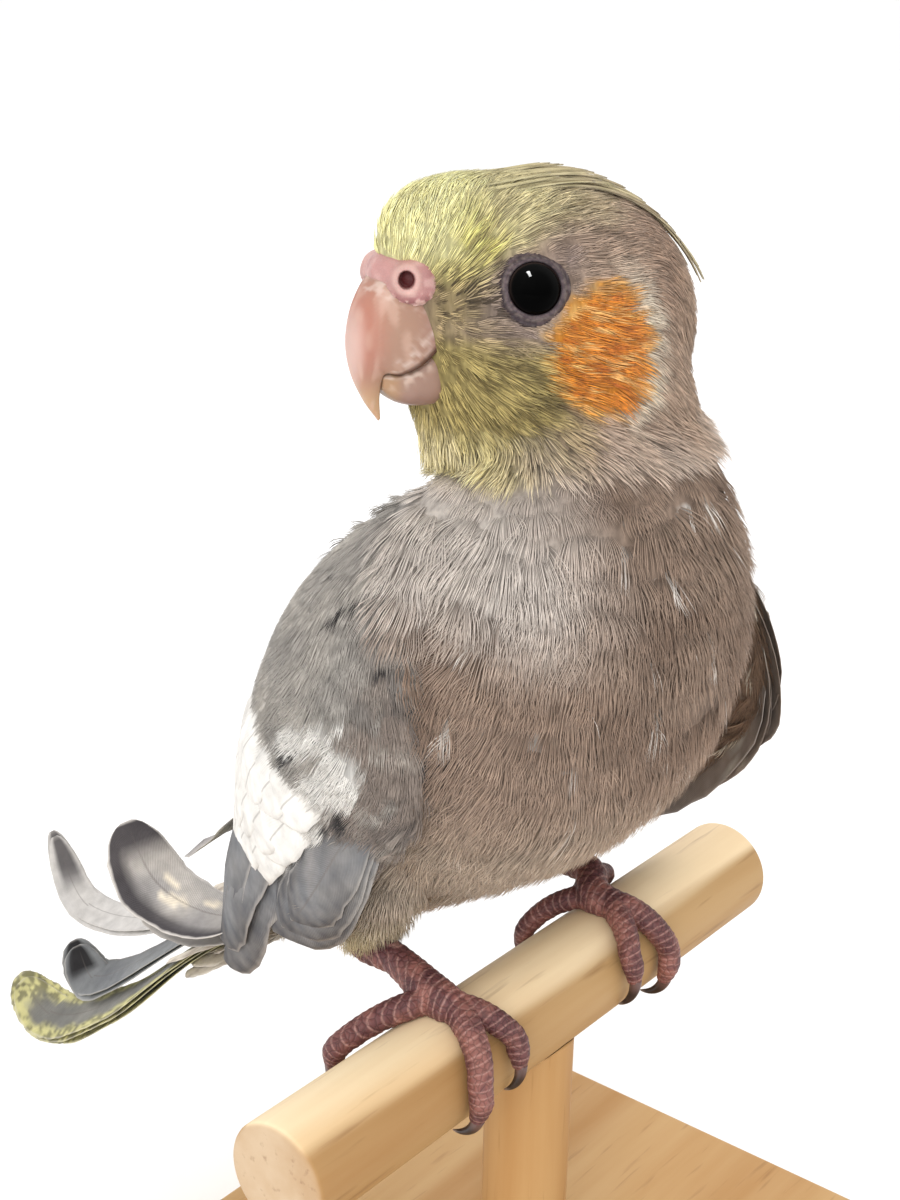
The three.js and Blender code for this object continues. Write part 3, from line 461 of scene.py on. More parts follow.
def make_piece(name, shape, material, replaces=()):
    """A Blender object from a gathered shape, riding on the model's one body."""
    points = np.concatenate(shape.points)
    triangles = np.concatenate(shape.triangles)
    mesh = bpy.data.meshes.new(name)
    mesh.vertices.add(len(points))
    mesh.vertices.foreach_set("co", (points * MM).astype(np.float32).ravel())
    mesh.loops.add(triangles.size)
    mesh.loops.foreach_set("vertex_index", triangles.astype(np.int32).ravel())
    mesh.polygons.add(len(triangles))
    mesh.polygons.foreach_set("loop_start", np.arange(0, triangles.size, 3, dtype=np.int32))
    mesh.polygons.foreach_set("use_smooth", np.full(len(triangles), True))
    mesh.update(calc_edges=True)
    corners = triangles.ravel()
    if shape.spots:
        write_map(mesh, "Feather", corners, np.concatenate(shape.spots))
    if shape.patches:
        write_map(mesh, "OFBake", corners, np.concatenate(shape.patches))
    tints = np.concatenate(shape.tints)
    if tints.shape[1] == 3:
        tints = np.column_stack([tints, np.ones(len(tints))])
    layer = mesh.color_attributes.new("Tint", "FLOAT_COLOR", "POINT")
    layer.data.foreach_set("color", np.clip(tints, 0, 1).astype(np.float32).ravel())
    piece = linked(name, mesh)
    mesh.materials.append(material)
    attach(piece, "root")
    if replaces:
        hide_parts(*replaces)


def whole_piece(name, points, triangles, tints, material, replaces=()):
    """A piece made at once from its points, its triangles and a colour for each point."""
    shape = Shape()
    shape.add(points, triangles, tints)
    make_piece(name, shape, material, replaces)


def ring_triangles(rows, around):
    """Triangles between rings of equally many points, with a fan to one more point at each end."""
    r = np.arange(rows - 1)[:, None] * around
    i = np.arange(around)[None, :]
    a = r + i
    b = r + (i + 1) % around
    sides = np.stack([a, b, b + around, a, b + around, a + around], -1).reshape(-1, 3)
    first = rows * around
    j = np.arange(around)
    k = (j + 1) % around
    last = (rows - 1) * around
    start = np.stack([np.full(around, first), k, j], -1)
    end = np.stack([np.full(around, first + 1), last + j, last + k], -1)
    return np.concatenate([sides, start, end])


def turned_out(points, triangles):
    """A closed skin's triangles, turned so that they face outwards."""
    a, b, c = (points[triangles[:, corner]] for corner in range(3))
    if np.einsum("ij,ij->i", np.cross(a, b), c).sum() < 0:
        return triangles[:, ::-1]
    return triangles


def closed_rings(rings):
    """Points and triangles of a closed skin over rings, with a point in the middle of each end."""
    rings = np.asarray(rings)
    rows, around = rings.shape[:2]
    points = np.concatenate([rings.reshape(-1, 3), rings[:1].mean(1), rings[-1:].mean(1)])
    return points, turned_out(points, ring_triangles(rows, around))


def ellipse(middle, side, front, width, depth, around, square=1.0):
    """Rings of points: each row's middle, out to width along side and to depth along front."""
    angle = np.linspace(0, 2 * np.pi, around, endpoint=False)
    c = np.sign(np.cos(angle)) * np.abs(np.cos(angle)) ** square
    s = np.sign(np.sin(angle)) * np.abs(np.sin(angle)) ** square
    middle, side, front = (np.atleast_2d(v)[:, None, :] for v in (middle, side, front))
    width = np.atleast_1d(width)[:, None, None]
    depth = np.atleast_1d(depth)[:, None, None]
    return middle + side * width * c[None, :, None] + front * depth * s[None, :, None]


def tube_rings(line, radii, rows, around, grow=0.0):
    """Rings along a smooth line of points, with a radius at each."""
    t = np.linspace(0, 1, rows)
    middle = catmull(line, t)
    along = unit(catmull(line, np.minimum(t + 0.01, 1)) - catmull(line, np.maximum(t - 0.01, 0)))
    radius = catmull(np.asarray(radii, float), t) + grow
    over = unit(np.cross(along, BODY.left))
    return ellipse(middle, np.cross(over, along), over, radius, radius, around)


def on_sphere(fall, turn):
    """Directions at angles down from straight up, and round from the front to the left."""
    fall, turn = fall[:, None], turn[None, :]
    return np.stack([np.sin(fall) * np.cos(turn), np.sin(fall) * np.sin(turn), np.cos(fall) + 0 * turn], -1)


def sphere_directions(rows, around):
    return on_sphere(np.pi * np.arange(1, rows) / rows, 2 * np.pi * np.arange(around) / around)


def trunk_rings(grow, around, rows):
    t = np.linspace(0, 1, rows)
    here = catmull(TRUNK, t)
    after = catmull(TRUNK, np.minimum(t + 0.02, 1))
    before = catmull(TRUNK, np.maximum(t - 0.02, 0))
    along = unit(BODY.point(after[:, 0], 0, after[:, 2]) - BODY.point(before[:, 0], 0, before[:, 2]))
    front = unit(np.cross(along, BODY.left))
    middle = BODY.point(here[:, 0], here[:, 1], here[:, 2])
    side = np.broadcast_to(BODY.left, front.shape)
    return ellipse(middle, side, front, here[:, 3] + grow, here[:, 4] + grow, around, 0.94)


def head_bump(direction, forward, left, up, sharp):
    return np.exp(-sharp * (1 - direction @ unit(np.array([forward, left, up], float))))


def head_point(direction, grow=0.0):
    """The head's surface in a direction from its middle (forward, left, up), grown outwards."""
    long = np.where(direction[..., 0] > 0, HEAD_FRONT, HEAD_BACK)
    tall = np.where(direction[..., 2] > 0, HEAD_TOP, HEAD_BOTTOM)
    sizes = np.stack([long, np.full_like(long, HEAD_HALF_WIDTH), tall], -1)
    swell = (
        1
        + 0.38 * head_bump(direction, 0.8, 0, 0.6, 10)
        + 0.06 * head_bump(direction, 0.35, 0.85, -0.3, 8)
        + 0.06 * head_bump(direction, 0.35, -0.85, -0.3, 8)
        - 0.07 * head_bump(direction, 0.9, 0, -0.4, 8)
        + 0.14 * head_bump(direction, 0.6, 0, -0.8, 8)
        - 0.05 * head_bump(direction, -0.65, 0, 0.75, 7)
        + 0.05 * head_bump(direction, -0.8, 0, -0.4, 4)
    )
    spot = direction * sizes * swell[..., None] + direction * np.asarray(grow)[..., None]
    return HEAD.point(spot[..., 0], spot[..., 1], spot[..., 2])


def head_normal(direction):
    step = 0.04
    across = unit(np.cross(UP, direction) + 1e-6)
    over = unit(np.cross(direction, across))
    a = head_point(unit(direction + across * step)) - head_point(unit(direction - across * step))
    b = head_point(unit(direction + over * step)) - head_point(unit(direction - over * step))
    normal = unit(np.cross(a, b))
    away = head_point(direction) - HEAD.middle
    return normal * np.sign(np.sum(normal * away, -1, keepdims=True))


def head_rings(grow):
    return head_point(sphere_directions(60, 90), grow)


def face_spot(forward, up, side):
    """Where the head's surface lies at a side of the face: the point, and the way out of it."""
    angles = np.pi * np.arange(1, 360) / 360
    directions = on_sphere(angles, side * angles)
    local = HEAD.local(head_point(directions))
    miss = np.hypot(local[..., 0] - forward, local[..., 2] - up)
    direction = directions[np.unravel_index(miss.argmin(), miss.shape)]
    return head_point(direction), head_normal(direction)


def thigh_line(side):
    line = BODY.point([-13, -13.5, -13.6, -13.4], side * np.array([14.5, 17, 18.6, 19.2]), [30, 22, 15, 9.6])
    return line, [9, 7.6, 5.4, 3.2]


def wing_at(u):
    u = np.asarray(u, float)
    inside = catmull(WING, u)
    end = catmull(WING, 1.0)
    before = catmull(WING, 0.97)
    beyond = end + (end - before) * ((u - 1) / 0.03)[..., None]
    return np.where((u > 1)[..., None], beyond, inside)


def wing_point(side, u, v, inward=0.0):
    """The wing's sheet: u from shoulder to tip, v from the back edge (-1) to the front edge (1)."""
    u, v = np.broadcast_arrays(np.asarray(u, float), np.asarray(v, float))
    here = wing_at(u)
    before = wing_at(np.maximum(u - 0.02, 0))
    after = wing_at(np.maximum(u + 0.02, 0.02))
    run = np.hypot(after[..., 0] - before[..., 0], after[..., 1] - before[..., 1])
    to_forward = -(after[..., 1] - before[..., 1]) / run
    to_up = (after[..., 0] - before[..., 0]) / run
    angle = np.radians(here[..., 5] + (here[..., 4] - here[..., 5]) * (v + 1) / 2)
    away = math.sin(WING_LIFT[side]) * (WING[0, 1] - here[..., 1]) + WING_OUT[side] * np.minimum(u * 4, 1)
    out = (here[..., 2] - inward) * np.sin(angle) + away
    ahead = (here[..., 3] - inward) * np.cos(angle)
    shift = WING_AHEAD[side] * np.sin(np.pi * np.clip(u, 0, 1))
    return BODY.point(here[..., 0] + to_forward * ahead + shift, side * out, here[..., 1] + to_up * ahead)


def wing_lie(side, u, v):
    """On the wing's sheet: the ways to the tip, to the front edge and out, and v's length in mm."""
    step = 0.03
    along = wing_point(side, u + step, v) - wing_point(side, u - step, v)
    across = wing_point(side, u, v + step) - wing_point(side, u, v - step)
    out = unit(np.cross(along, across))
    out = out * np.sign((out @ BODY.left) * side)[..., None]
    arc = np.linalg.norm(across, axis=-1) / (2 * step)
    return unit(along), unit(across), out, arc


def wing_core_rings(side):
    """The folded wing's flesh: near the sheet where soft coverts grow, deeper under long feathers."""
    rings = []
    v = np.linspace(-1, 1, 27)
    back = v[-2:0:-1]
    for u in np.linspace(0, 0.86, 60):
        depth = -0.5 + 1.9 * smoothstep(0.68, 0.8, u)
        thick = WING_THICKNESS * (0.2 + 0.8 * math.sin(math.pi * min(u + 0.12, 1)))
        outer = wing_point(side, u, v * 0.97, depth + 1.2 * v ** 4)
        below = np.maximum(thick * np.sqrt(1 - back ** 2) + 0.6, depth + 1.4)
        rings.append(np.concatenate([outer, wing_point(side, u, back * 0.97, below)]))
    return rings


def tail_core_rings(grow):
    t = np.linspace(0, 1, 24)
    place = TAIL.point(6 - 34 * t, -0.6 - 2 * t, 3 - 25 * t + 3 * t ** 2)
    width = 7.6 + 1.2 * t - 3 * t ** 4 + grow
    side = np.broadcast_to(TAIL.left, place.shape)
    over = np.broadcast_to(UP, place.shape)
    return ellipse(place, side, over, width, np.maximum(5.2 - 3.9 * t + grow, 0.6), 28)


def tilted_height(body):
    """How high places in the body's frame are, measured along the leaning neck."""
    return body[..., 2] - 0.12 * body[..., 0]


def head_share(points):
    height = tilted_height(BODY.local(points))
    return smoothstep(78.2, 80.2, height + 1.2 * (noise(points, 5, 3) - 0.5))


def lie_noise(f, l, u, size, stretch, seed):
    """Noise drawn out into streaks that run back over the head from the bill."""
    radius = np.sqrt((f - 19) ** 2 + l ** 2 + (u - 2.5) ** 2)
    around = np.arctan2(u - 2.5, np.hypot(f - 19, 0.001 + np.abs(l)))
    turn = np.arctan2(l, -(f - 19) + 0.001)
    places = np.stack([radius / stretch, around * 14, turn * 14], -1)
    return noise(places, size, seed)


def head_base(f, u, patchy, streaks, wide):
    """The head without its marks: grey behind, yellow on crown, brow and cheek, cream at the throat."""
    base = blend(HEAD_GREY, TAUPE, 0.25 + 0.7 * smoothstep(2, -13, f) * smoothstep(-4, 8, u))
    base = blend(base, NAPE, smoothstep(-10, -18, f))
    base = blend(base, TAUPE * 0.55, 0.6 * smoothstep(0.58, 0.82, streaks) * smoothstep(-14, 2, u))
    crown = smoothstep(11.5, 16, u + 0.25 * f + 4 * (wide - 0.5)) * smoothstep(-22, -8, f + 4 * patchy)
    pale = blend(PALE_YELLOW, HEAD_GREY, smoothstep(10, -8, f))
    dark = 0.85 * smoothstep(0.46, 0.76, streaks) * (0.6 + 0.4 * smoothstep(8, -8, f))
    base = blend(base, blend(pale, OLIVE * 0.85, dark), 0.92 * crown)
    brow = smoothstep(11, 16, f + 5 * (wide - 0.5)) * smoothstep(5, 9, u)
    base = blend(base, blend(YELLOW, OLIVE, 0.85 * smoothstep(0.5, 0.75, streaks)), brow)
    front = smoothstep(15, 21, f + 0.25 * u + 4 * patchy) * smoothstep(6, 10, u)
    base = blend(base, FOREHEAD, 0.85 * front)
    cheek = smoothstep(3, 8, f - 0.12 * u + 4 * (wide - 0.5)) * smoothstep(4, -1, u)
    base = blend(base, blend(CHEEK_YELLOW, OLIVE * 0.8, 0.8 * smoothstep(0.44, 0.72, streaks)), cheek)
    throat = smoothstep(-9, -14, u) * smoothstep(5, 11, f + 5 * patchy)
    base = blend(base, blend(THROAT, CREAM, 0.6 * wide), throat)
    low = smoothstep(-8, -16, u + 5 * patchy) * smoothstep(13, 6, f)
    return blend(base, blend(HEAD_GREY, BREAST_PALE, 0.6 * wide), low)


def lores_over(base, points, f, u, streaks, fine_detail):
    """Dark specks between bill and eye, and lilac skin showing below and before the eye."""
    lores = smoothstep(8.5, 12, f) * smoothstep(20.5, 18, f)
    lores = lores * smoothstep(0.5, 3.5, u) * smoothstep(10.5, 7, u)
    base = blend(base, blend(CHEEK_YELLOW, LILAC, smoothstep(17, 12, f)), 0.6 * lores)
    specks = smoothstep(0.5, 0.6, noise(points, 0.45, 17)) * fine_detail + 0.35 * (1 - fine_detail)
    base = blend(base, LORES, 0.9 * lores * specks)
    below = np.exp(-(((f - 9.5) / 5.5) ** 2 + ((u - 1.6) / 2.0) ** 2))
    base = blend(base, blend(HEAD_GREY, LILAC, streaks), 0.7 * below)
    eye_side = np.exp(-(((f - 4.4) / 2.0) ** 2 + ((u - 9.5) / 3.0) ** 2))
    return blend(base, blend(LILAC, LORES, 0.8 * streaks), 0.6 * eye_side)


def cheek_patch_over(base, f, l, u, streaks):
    """The orange patch with its streaks, and the cream rim behind it."""
    flank = smoothstep(5, 9, np.abs(l))
    edge = np.hypot((f - 1.3) / 7.0, (u + 0.9) / 7.6) ** 1.15
    edge = edge + 0.3 * (streaks - 0.5) + 0.2 * smoothstep(1, 8, f) * smoothstep(-1, 6, u)
    rim = smoothstep(1.65, 1.1, edge) * smoothstep(1, -5, f) * flank
    base = blend(base, CREAM, 0.9 * rim)
    fine = lie_noise(f, l, u, 0.4, 7, 18)
    orange = blend(ORANGE, RUST, 0.75 * smoothstep(0.55, 0.85, fine))
    orange = blend(orange, ORANGE_PALE, 0.7 * smoothstep(0.4, 0.22, fine))
    orange = blend(orange, ORANGE_EDGE, 0.65 * smoothstep(0.72, 1.08, edge))
    return blend(base, orange, 0.94 * (smoothstep(1.16, 0.9, edge) * flank))


def head_colour(points, fine_detail=1.0):
    """Lemon before the eye, taupe behind it, with streaks, dark lores and an orange patch on the cheek."""
    f, l, u = np.moveaxis(HEAD.local(points), -1, 0)
    patchy = noise(points, 5, 11) - 0.5
    streaks = lie_noise(f, l, u, 0.55, 6, 12)
    wide = lie_noise(f, l, u, 2.2, 4, 13)
    base = head_base(f, u, patchy, streaks, wide)
    base = lores_over(base, points, f, u, streaks, fine_detail)
    return cheek_patch_over(base, f, l, u, streaks)


def body_colour(points):
    """Warm grey with a paler spot below the throat, cream at the ankles and grey over the back."""
    f, l, u = np.moveaxis(BODY.local(points), -1, 0)
    base = blend(BREAST, BREAST_WARM, 0.8 * smoothstep(0.35, 0.8, noise(points * [1, 1, 1.6], 7, 21)))
    base = base * (1 - 0.14 * smoothstep(44, 60, u) * smoothstep(-14, -4, l))[..., None]
    right = smoothstep(-7, -17, l + 6 * (noise(points, 8, 23) - 0.5)) * smoothstep(58, 70, u)
    base = blend(base, BREAST_PALE, 0.85 * right)
    flecks = smoothstep(0.84, 0.9, noise(points, 1.8, 24))
    base = blend(base, BREAST_PALE, 0.9 * flecks)
    back = smoothstep(-5, -14, f + 0.9 * np.minimum(0, u - 48))
    back = back * smoothstep(-2, -10, f)
    base = blend(base, BACK_GREY, back)
    under = smoothstep(46, 26, u) * smoothstep(-38, -22, f)
    base = blend(base, BELLY, 0.8 * under)
    thigh = smoothstep(21, 11, u) * smoothstep(10, 13, np.abs(l)) * smoothstep(-24, -20, f)
    base = blend(base, THIGH_CREAM, 0.9 * thigh)
    return blend(base, colour(206, 200, 186), 0.6 * smoothstep(-30, -38, f))


def plumage(points, fine_detail=1.0):
    """The bird's colour at points of the body and head, for skin and coat alike."""
    return blend(body_colour(points), head_colour(points, fine_detail), head_share(points))


def off_line(p, a, b):
    """How far places are from the line from a to b."""
    way = b - a
    share = np.clip(((p - a) @ way) / (way @ way), 0, 1)
    return np.linalg.norm(p - a - share[..., None] * way, axis=-1)


def inside(outline, u, v):
    """How far inside an outline on the wing each place lies, in mm, below 0 outside."""
    p = np.stack([u, v], -1) * WING_SPAN
    corners = np.array(outline) * WING_SPAN
    far = np.full(u.shape, 1e3)
    within = np.zeros(u.shape, bool)
    for a, b in zip(corners, np.roll(corners, -1, 0)):
        far = np.minimum(far, off_line(p, a, b))
        crosses = (a[1] > p[..., 1]) != (b[1] > p[..., 1])
        at = a[0] + (p[..., 1] - a[1]) / np.where(b[1] == a[1], 1e-9, b[1] - a[1]) * (b - a)[0]
        within ^= crosses & (p[..., 0] < at)
    return np.where(within, far, -far)


def from_mark(mark, u, v):
    """How far each place on the wing is from a mark's line, in mm."""
    p = np.stack([u, v], -1) * WING_SPAN
    return off_line(p, np.array(mark[:2]) * WING_SPAN, np.array(mark[2:4]) * WING_SPAN)


def wing_colour(side, points, u, v):
    """Colours over a wing: soft mottled grey, on the left one painted shade over its front edge, and on the
    right one the white patches and dark marks.
    """
    ragged = noise(points, 1.6, 31) - 0.5
    base = blend(WING_GREY, WING_SOFT, smoothstep(0.35, 0.75, noise(points, 5, 32)))
    base = base * (0.9 + 0.2 * noise(points, 1.5, 30))[..., None]
    front = smoothstep(0.25, 0.75, v + 0.4 * (noise(points, 5, 33) - 0.5)) * smoothstep(0.22, 0.34, u)
    mottled = blend(WING_BROWN, WING_DARK, 0.6 * smoothstep(0.55, 0.8, noise(points, 2.4, 34)))
    mottled = blend(mottled, WING_SOFT, 0.6 * smoothstep(0.62, 0.8, noise(points, 2.2, 29)))
    base = blend(base, mottled, 0.75 * front)
    if side > 0:
        # Painted shade: the left wing's front edge brown and darker in patches, with cream spots
        shaded = smoothstep(0.1, 0.6, v)
        base = blend(base, blend(LEFT_WING_SHADE, LEFT_WING_SHADE * 0.5, noise(points, 4, 35)), shaded)
        return blend(base, CREAM, 0.8 * shaded * smoothstep(0.76, 0.82, noise(points, 2.6, 36)))
    for outline in WHITE_OUTLINES:
        base = blend(base, WING_WHITE, smoothstep(-0.3, 0.7, inside(outline, u, v) + 2.2 * ragged))
    for mark in DARK_MARKS:
        share = smoothstep(mark[4], 0.5 * mark[4], from_mark(mark, u, v) + 0.4 * ragged)
        base = blend(base, WING_DARK * 0.5, 0.92 * share)
    return base


def feather_colour(side, kind, points, u, v, t, s, seed):
    """A wing feather's colours by its kind, and how pale its edge is."""
    tone = 0.97 + 0.06 * np.random.default_rng(seed + 500).random()
    if kind == "white":
        base = blend(WING_WHITE, WING_SOFT, 0.3 * smoothstep(0.5, 0.8, noise(points * [1, 1, 0.4], 2.5, 37)))
        base = blend(base, CREAM, 0.35 * smoothstep(0.5, 0.1, t))
        return base * tone, 0.0
    if kind == "covert" or side > 0:
        base = wing_colour(side, points, u, v)
        edge = 0.22 if kind == "covert" else 0.45
    else:
        base = blend(WING_BLUE, WING_GREY, 0.5 * noise(points, 6, 39))
        base = blend(base, WING_DARK, 0.3 * smoothstep(0.35, 0.75, noise(points * [1, 1, 0.5], 4, 40)))
        inner_rim = smoothstep(0.45, 0.7, np.abs(s)) + smoothstep(0.78, 0.9, t)
        base = blend(base, WING_DARK, 0.65 * np.clip(inner_rim, 0, 1) * smoothstep(0.3, 0.8, t))
        bars = 0.5 + 0.5 * np.sin(60 * t - 6 * np.abs(s))
        base = blend(base, WING_SOFT, 0.2 * bars)
        edge = 0.38
    return base * ((0.8 + 0.2 * smoothstep(0.0, 0.4, t)) * tone)[..., None], edge


class Nodes:
    """Short names for building a material's nodes."""

    def __init__(self, name, roughness, specular=0.5):
        self.material = bpy.data.materials.new(name)
        self.material.use_nodes = True
        self.tree = self.material.node_tree
        self.shader = self.tree.nodes["Principled BSDF"]
        self.set(self.shader, "Roughness", roughness)
        self.set(self.shader, "Specular IOR Level", specular)

    def set(self, node, socket, value):
        target = node.inputs[socket]
        if isinstance(value, bpy.types.NodeSocket):
            self.tree.links.new(value, target)
        elif isinstance(value, (tuple, list, np.ndarray)):
            values = [float(v) for v in value]
            if len(values) == 3 and len(target.default_value) == 4:
                values.append(1.0)
            target.default_value = values
        else:
            target.default_value = value
        return node

    def add(self, kind, **settings):
        node = self.tree.nodes.new(kind)
        for key, value in settings.items():
            setattr(node, key, value)
        return node

    def tint(self, output):
        """The piece's own colours, or as Alpha how pale the edges are."""
        return self.add("ShaderNodeAttribute", attribute_name="Tint").outputs[output]

    def place(self):
        return self.add("ShaderNodeTexCoord").outputs["Object"]

    def stretched(self, scale):
        node = self.add("ShaderNodeMapping")
        self.set(node, "Vector", self.place())
        self.set(node, "Scale", scale)
        return node.outputs["Vector"]

    def noise(self, scale, detail=3.0, vector=None, distortion=0.0):
        node = self.add("ShaderNodeTexNoise")
        self.set(node, "Vector", vector if vector is not None else self.place())
        self.set(node, "Scale", scale)
        self.set(node, "Detail", detail)
        self.set(node, "Distortion", distortion)
        return node.outputs["Fac"]

    def cells(self, scale, feature):
        node = self.add("ShaderNodeTexVoronoi", feature=feature)
        self.set(node, "Vector", self.place())
        self.set(node, "Scale", scale)
        return node.outputs["Distance"]

    def span(self, value, start, end, low=0.0, high=1.0):
        node = self.add("ShaderNodeMapRange", clamp=True)
        self.set(node, "Value", value)
        for socket, number in (("From Min", start), ("From Max", end), ("To Min", low), ("To Max", high)):
            self.set(node, socket, number)
        return node.outputs["Result"]

    def cloud(self, scale, detail, low, high):
        """A soft pattern of numbers from low to high."""
        return self.span(self.noise(scale, detail), 0.3, 0.7, low, high)

    def sum(self, operation, a, b=0.0, c=0.0):
        node = self.add("ShaderNodeMath", operation=operation)
        for index, value in enumerate((a, b, c)):
            self.set(node, index, value)
        return node.outputs["Value"]

    def mix(self, a, b, share, kind="MIX"):
        node = self.add("ShaderNodeMix", data_type="RGBA", blend_type=kind)
        self.set(node, 0, share)
        self.set(node, 6, a)
        self.set(node, 7, b)
        return node.outputs[2]

    def bump(self, height, strength, distance):
        node = self.add("ShaderNodeBump")
        self.set(node, "Height", height)
        self.set(node, "Strength", strength)
        self.set(node, "Distance", distance * MM)
        self.set(self.shader, "Normal", node.outputs["Normal"])

    def colour(self, value):
        self.set(self.shader, "Base Color", value)

    def grey(self, value):
        """A grey from a number, to multiply a colour by."""
        node = self.add("ShaderNodeCombineColor")
        for socket in ("Red", "Green", "Blue"):
            self.set(node, socket, value)
        return node.outputs["Color"]

    def shaded(self, value):
        """The piece's own colours, made lighter or darker by a number."""
        return self.mix(self.tint("Color"), self.grey(value), 1.0, "MULTIPLY")

    def shade(self, value):
        self.colour(self.shaded(value))

    def fleshy(self, weight, radius, scale):
        """Light that passes a little way through skin or horn."""
        self.set(self.shader, "Subsurface Weight", weight)
        self.set(self.shader, "Subsurface Radius", radius)
        self.set(self.shader, "Subsurface Scale", scale)


def coat_material():
    n = Nodes("coat", 0.8, 0.18)
    n.shade(n.cloud(900, 2.0, 0.9, 1.08))
    n.set(n.shader, "Sheen Weight", 0.08)
    n.set(n.shader, "Sheen Roughness", 0.5)
    return n.material


def skin_material():
    n = Nodes("skin_under_coat", 0.8, 0.2)
    streaks = n.noise(420, 4.0, n.stretched((3.0, 3.0, 0.6)))
    n.shade(n.span(streaks, 0.3, 0.7, 0.5, 0.95))
    n.bump(streaks, 0.6, 0.3)
    return n.material


def vane_material():
    """Feather vanes: fine barbs slanting from a shaft, with an edge as pale as the tint's alpha says."""
    n = Nodes("vane", 0.72, 0.22)
    split = n.add("ShaderNodeSeparateXYZ")
    n.set(split, "Vector", n.add("ShaderNodeUVMap", uv_map="Feather").outputs["UV"])
    across = n.sum("ABSOLUTE", n.sum("SUBTRACT", split.outputs["X"], 0.5))
    along = split.outputs["Y"]
    wobble = n.noise(260, 2.0)
    slant = n.sum("MULTIPLY_ADD", across, -0.55, along)
    ridges = n.sum("SINE", n.sum("MULTIPLY", n.sum("MULTIPLY_ADD", wobble, 0.03, slant), 420.0))
    shade = n.span(ridges, -1.0, 1.0, 0.86, 1.08)
    base = n.shaded(n.sum("MULTIPLY", shade, n.cloud(420, 4.0, 0.84, 1.12)))
    rim = n.span(n.sum("MULTIPLY_ADD", wobble, 0.05, across), 0.475, 0.515)
    end = n.span(n.sum("MULTIPLY_ADD", wobble, 0.04, along), 0.975, 1.01)
    base = n.mix(base, VANE_EDGE, n.sum("MULTIPLY", n.sum("MAXIMUM", rim, end), n.tint("Alpha")))
    shaft = n.sum("MULTIPLY", n.span(across, 0.008, 0.022, 0.4, 0.0), n.span(along, 0.7, 0.95, 1.0, 0.0))
    n.colour(n.mix(base, VANE_SHAFT, shaft))
    n.bump(n.sum("MULTIPLY_ADD", ridges, 0.4, wobble), 0.5, 0.14)
    return n.material


def bill_material():
    n = Nodes("bill", 0.36, 0.35)
    streaks = n.noise(190, 5.0, n.stretched((2.2, 2.2, 0.35)))
    n.shade(n.cloud(120, 4.0, 0.9, 1.08))
    n.set(n.shader, "Roughness", n.span(streaks, 0.3, 0.7, 0.3, 0.5))
    n.bump(n.sum("MULTIPLY_ADD", n.noise(700, 4.0), 0.5, streaks), 0.3, 0.14)
    n.fleshy(0.2, (0.9, 0.4, 0.25), 0.0015)
    return n.material


def soft_skin_material(name, grain, depth, crack):
    """Bare skin: the cere, the lids and the feet, cracked into scales by as much as crack says."""
    n = Nodes(name, 0.5, 0.3)
    scales = n.cells(grain, "DISTANCE_TO_EDGE")
    crease = n.span(scales, 0.0, 0.12, 1.02 - crack, 1.04)
    n.shade(n.sum("MULTIPLY", crease, n.cloud(300, 4.0, 0.88, 1.1)))
    n.bump(n.span(scales, 0.0, 0.25), 0.6, depth)
    n.fleshy(0.12, (0.9, 0.35, 0.3), 0.0012)
    return n.material


def eye_material():
    n = Nodes("eye", 0.03, 0.02)
    n.shade(n.cloud(500, 3.0, 0.7, 1.2))
    n.set(n.shader, "Roughness", n.cloud(900, 2.0, 0.02, 0.035))
    return n.material


def claw_material():
    n = Nodes("claw", 0.32, 0.5)
    lines = n.noise(420, 3.0, n.stretched((1.0, 1.0, 0.3)))
    n.shade(n.span(lines, 0.3, 0.7, 0.75, 1.2))
    n.bump(lines, 0.2, 0.08)
    return n.material


def wood_material(name, stretch):
    """Pale pine with its grain along one way, given by how little the pattern shrinks along it."""
    n = Nodes(name, 0.55, 0.25)
    wide = n.noise(16, 3.0, n.stretched(stretch), 0.6)
    rings = n.sum("SINE", n.sum("MULTIPLY", wide, 46.0))
    fibres = n.noise(240, 5.0, n.stretched(stretch))
    pores = n.noise(900, 2.0, n.stretched(stretch))
    share = n.span(n.sum("MULTIPLY_ADD", fibres, 0.8, n.sum("MULTIPLY", rings, 0.22)), 0.1, 0.75)
    base = n.mix(n.mix(PINE_PALE, PINE, share), PINE_PORE, n.span(pores, 0.62, 0.78, 0.0, 0.4))
    n.colour(n.mix(base, n.tint("Color"), 1.0, "MULTIPLY"))
    n.set(n.shader, "Roughness", n.span(fibres, 0.3, 0.7, 0.48, 0.65))
    n.bump(n.sum("MULTIPLY_ADD", fibres, 0.7, n.sum("MULTIPLY", pores, 0.4)), 0.35, 0.15)
    return n.material


def remeshed(parts, voxel, rounds):
    """One closed skin over overlapping closed parts: its points, normals and triangles."""
    mesh = bpy.data.meshes.new("parts")
    points = np.concatenate([p for p, _ in parts])
    starts = np.cumsum([0] + [len(p) for p, _ in parts[:-1]])
    triangles = np.concatenate([t + s for (_, t), s in zip(parts, starts)])
    mesh.from_pydata((points * MM).tolist(), [], triangles.tolist())
    piece = linked("parts", mesh)
    remesh = piece.modifiers.new("remesh", "REMESH")
    remesh.mode = "VOXEL"
    remesh.voxel_size = voxel * MM
    piece.modifiers.new("smooth", "SMOOTH").iterations = rounds
    piece.modifiers.new("triangles", "TRIANGULATE")
    graph = bpy.context.evaluated_depsgraph_get()
    made = piece.evaluated_get(graph).to_mesh()
    points = np.zeros(len(made.vertices) * 3)
    normals = np.zeros(len(made.vertices) * 3)
    triangles = np.zeros(len(made.polygons) * 3, int)
    made.vertices.foreach_get("co", points)
    made.vertices.foreach_get("normal", normals)
    made.polygons.foreach_get("vertices", triangles)
    piece.evaluated_get(graph).to_mesh_clear()
    bpy.data.objects.remove(piece)
    bpy.data.meshes.remove(mesh)
    return points.reshape(-1, 3) / MM, normals.reshape(-1, 3), triangles.reshape(-1, 3)


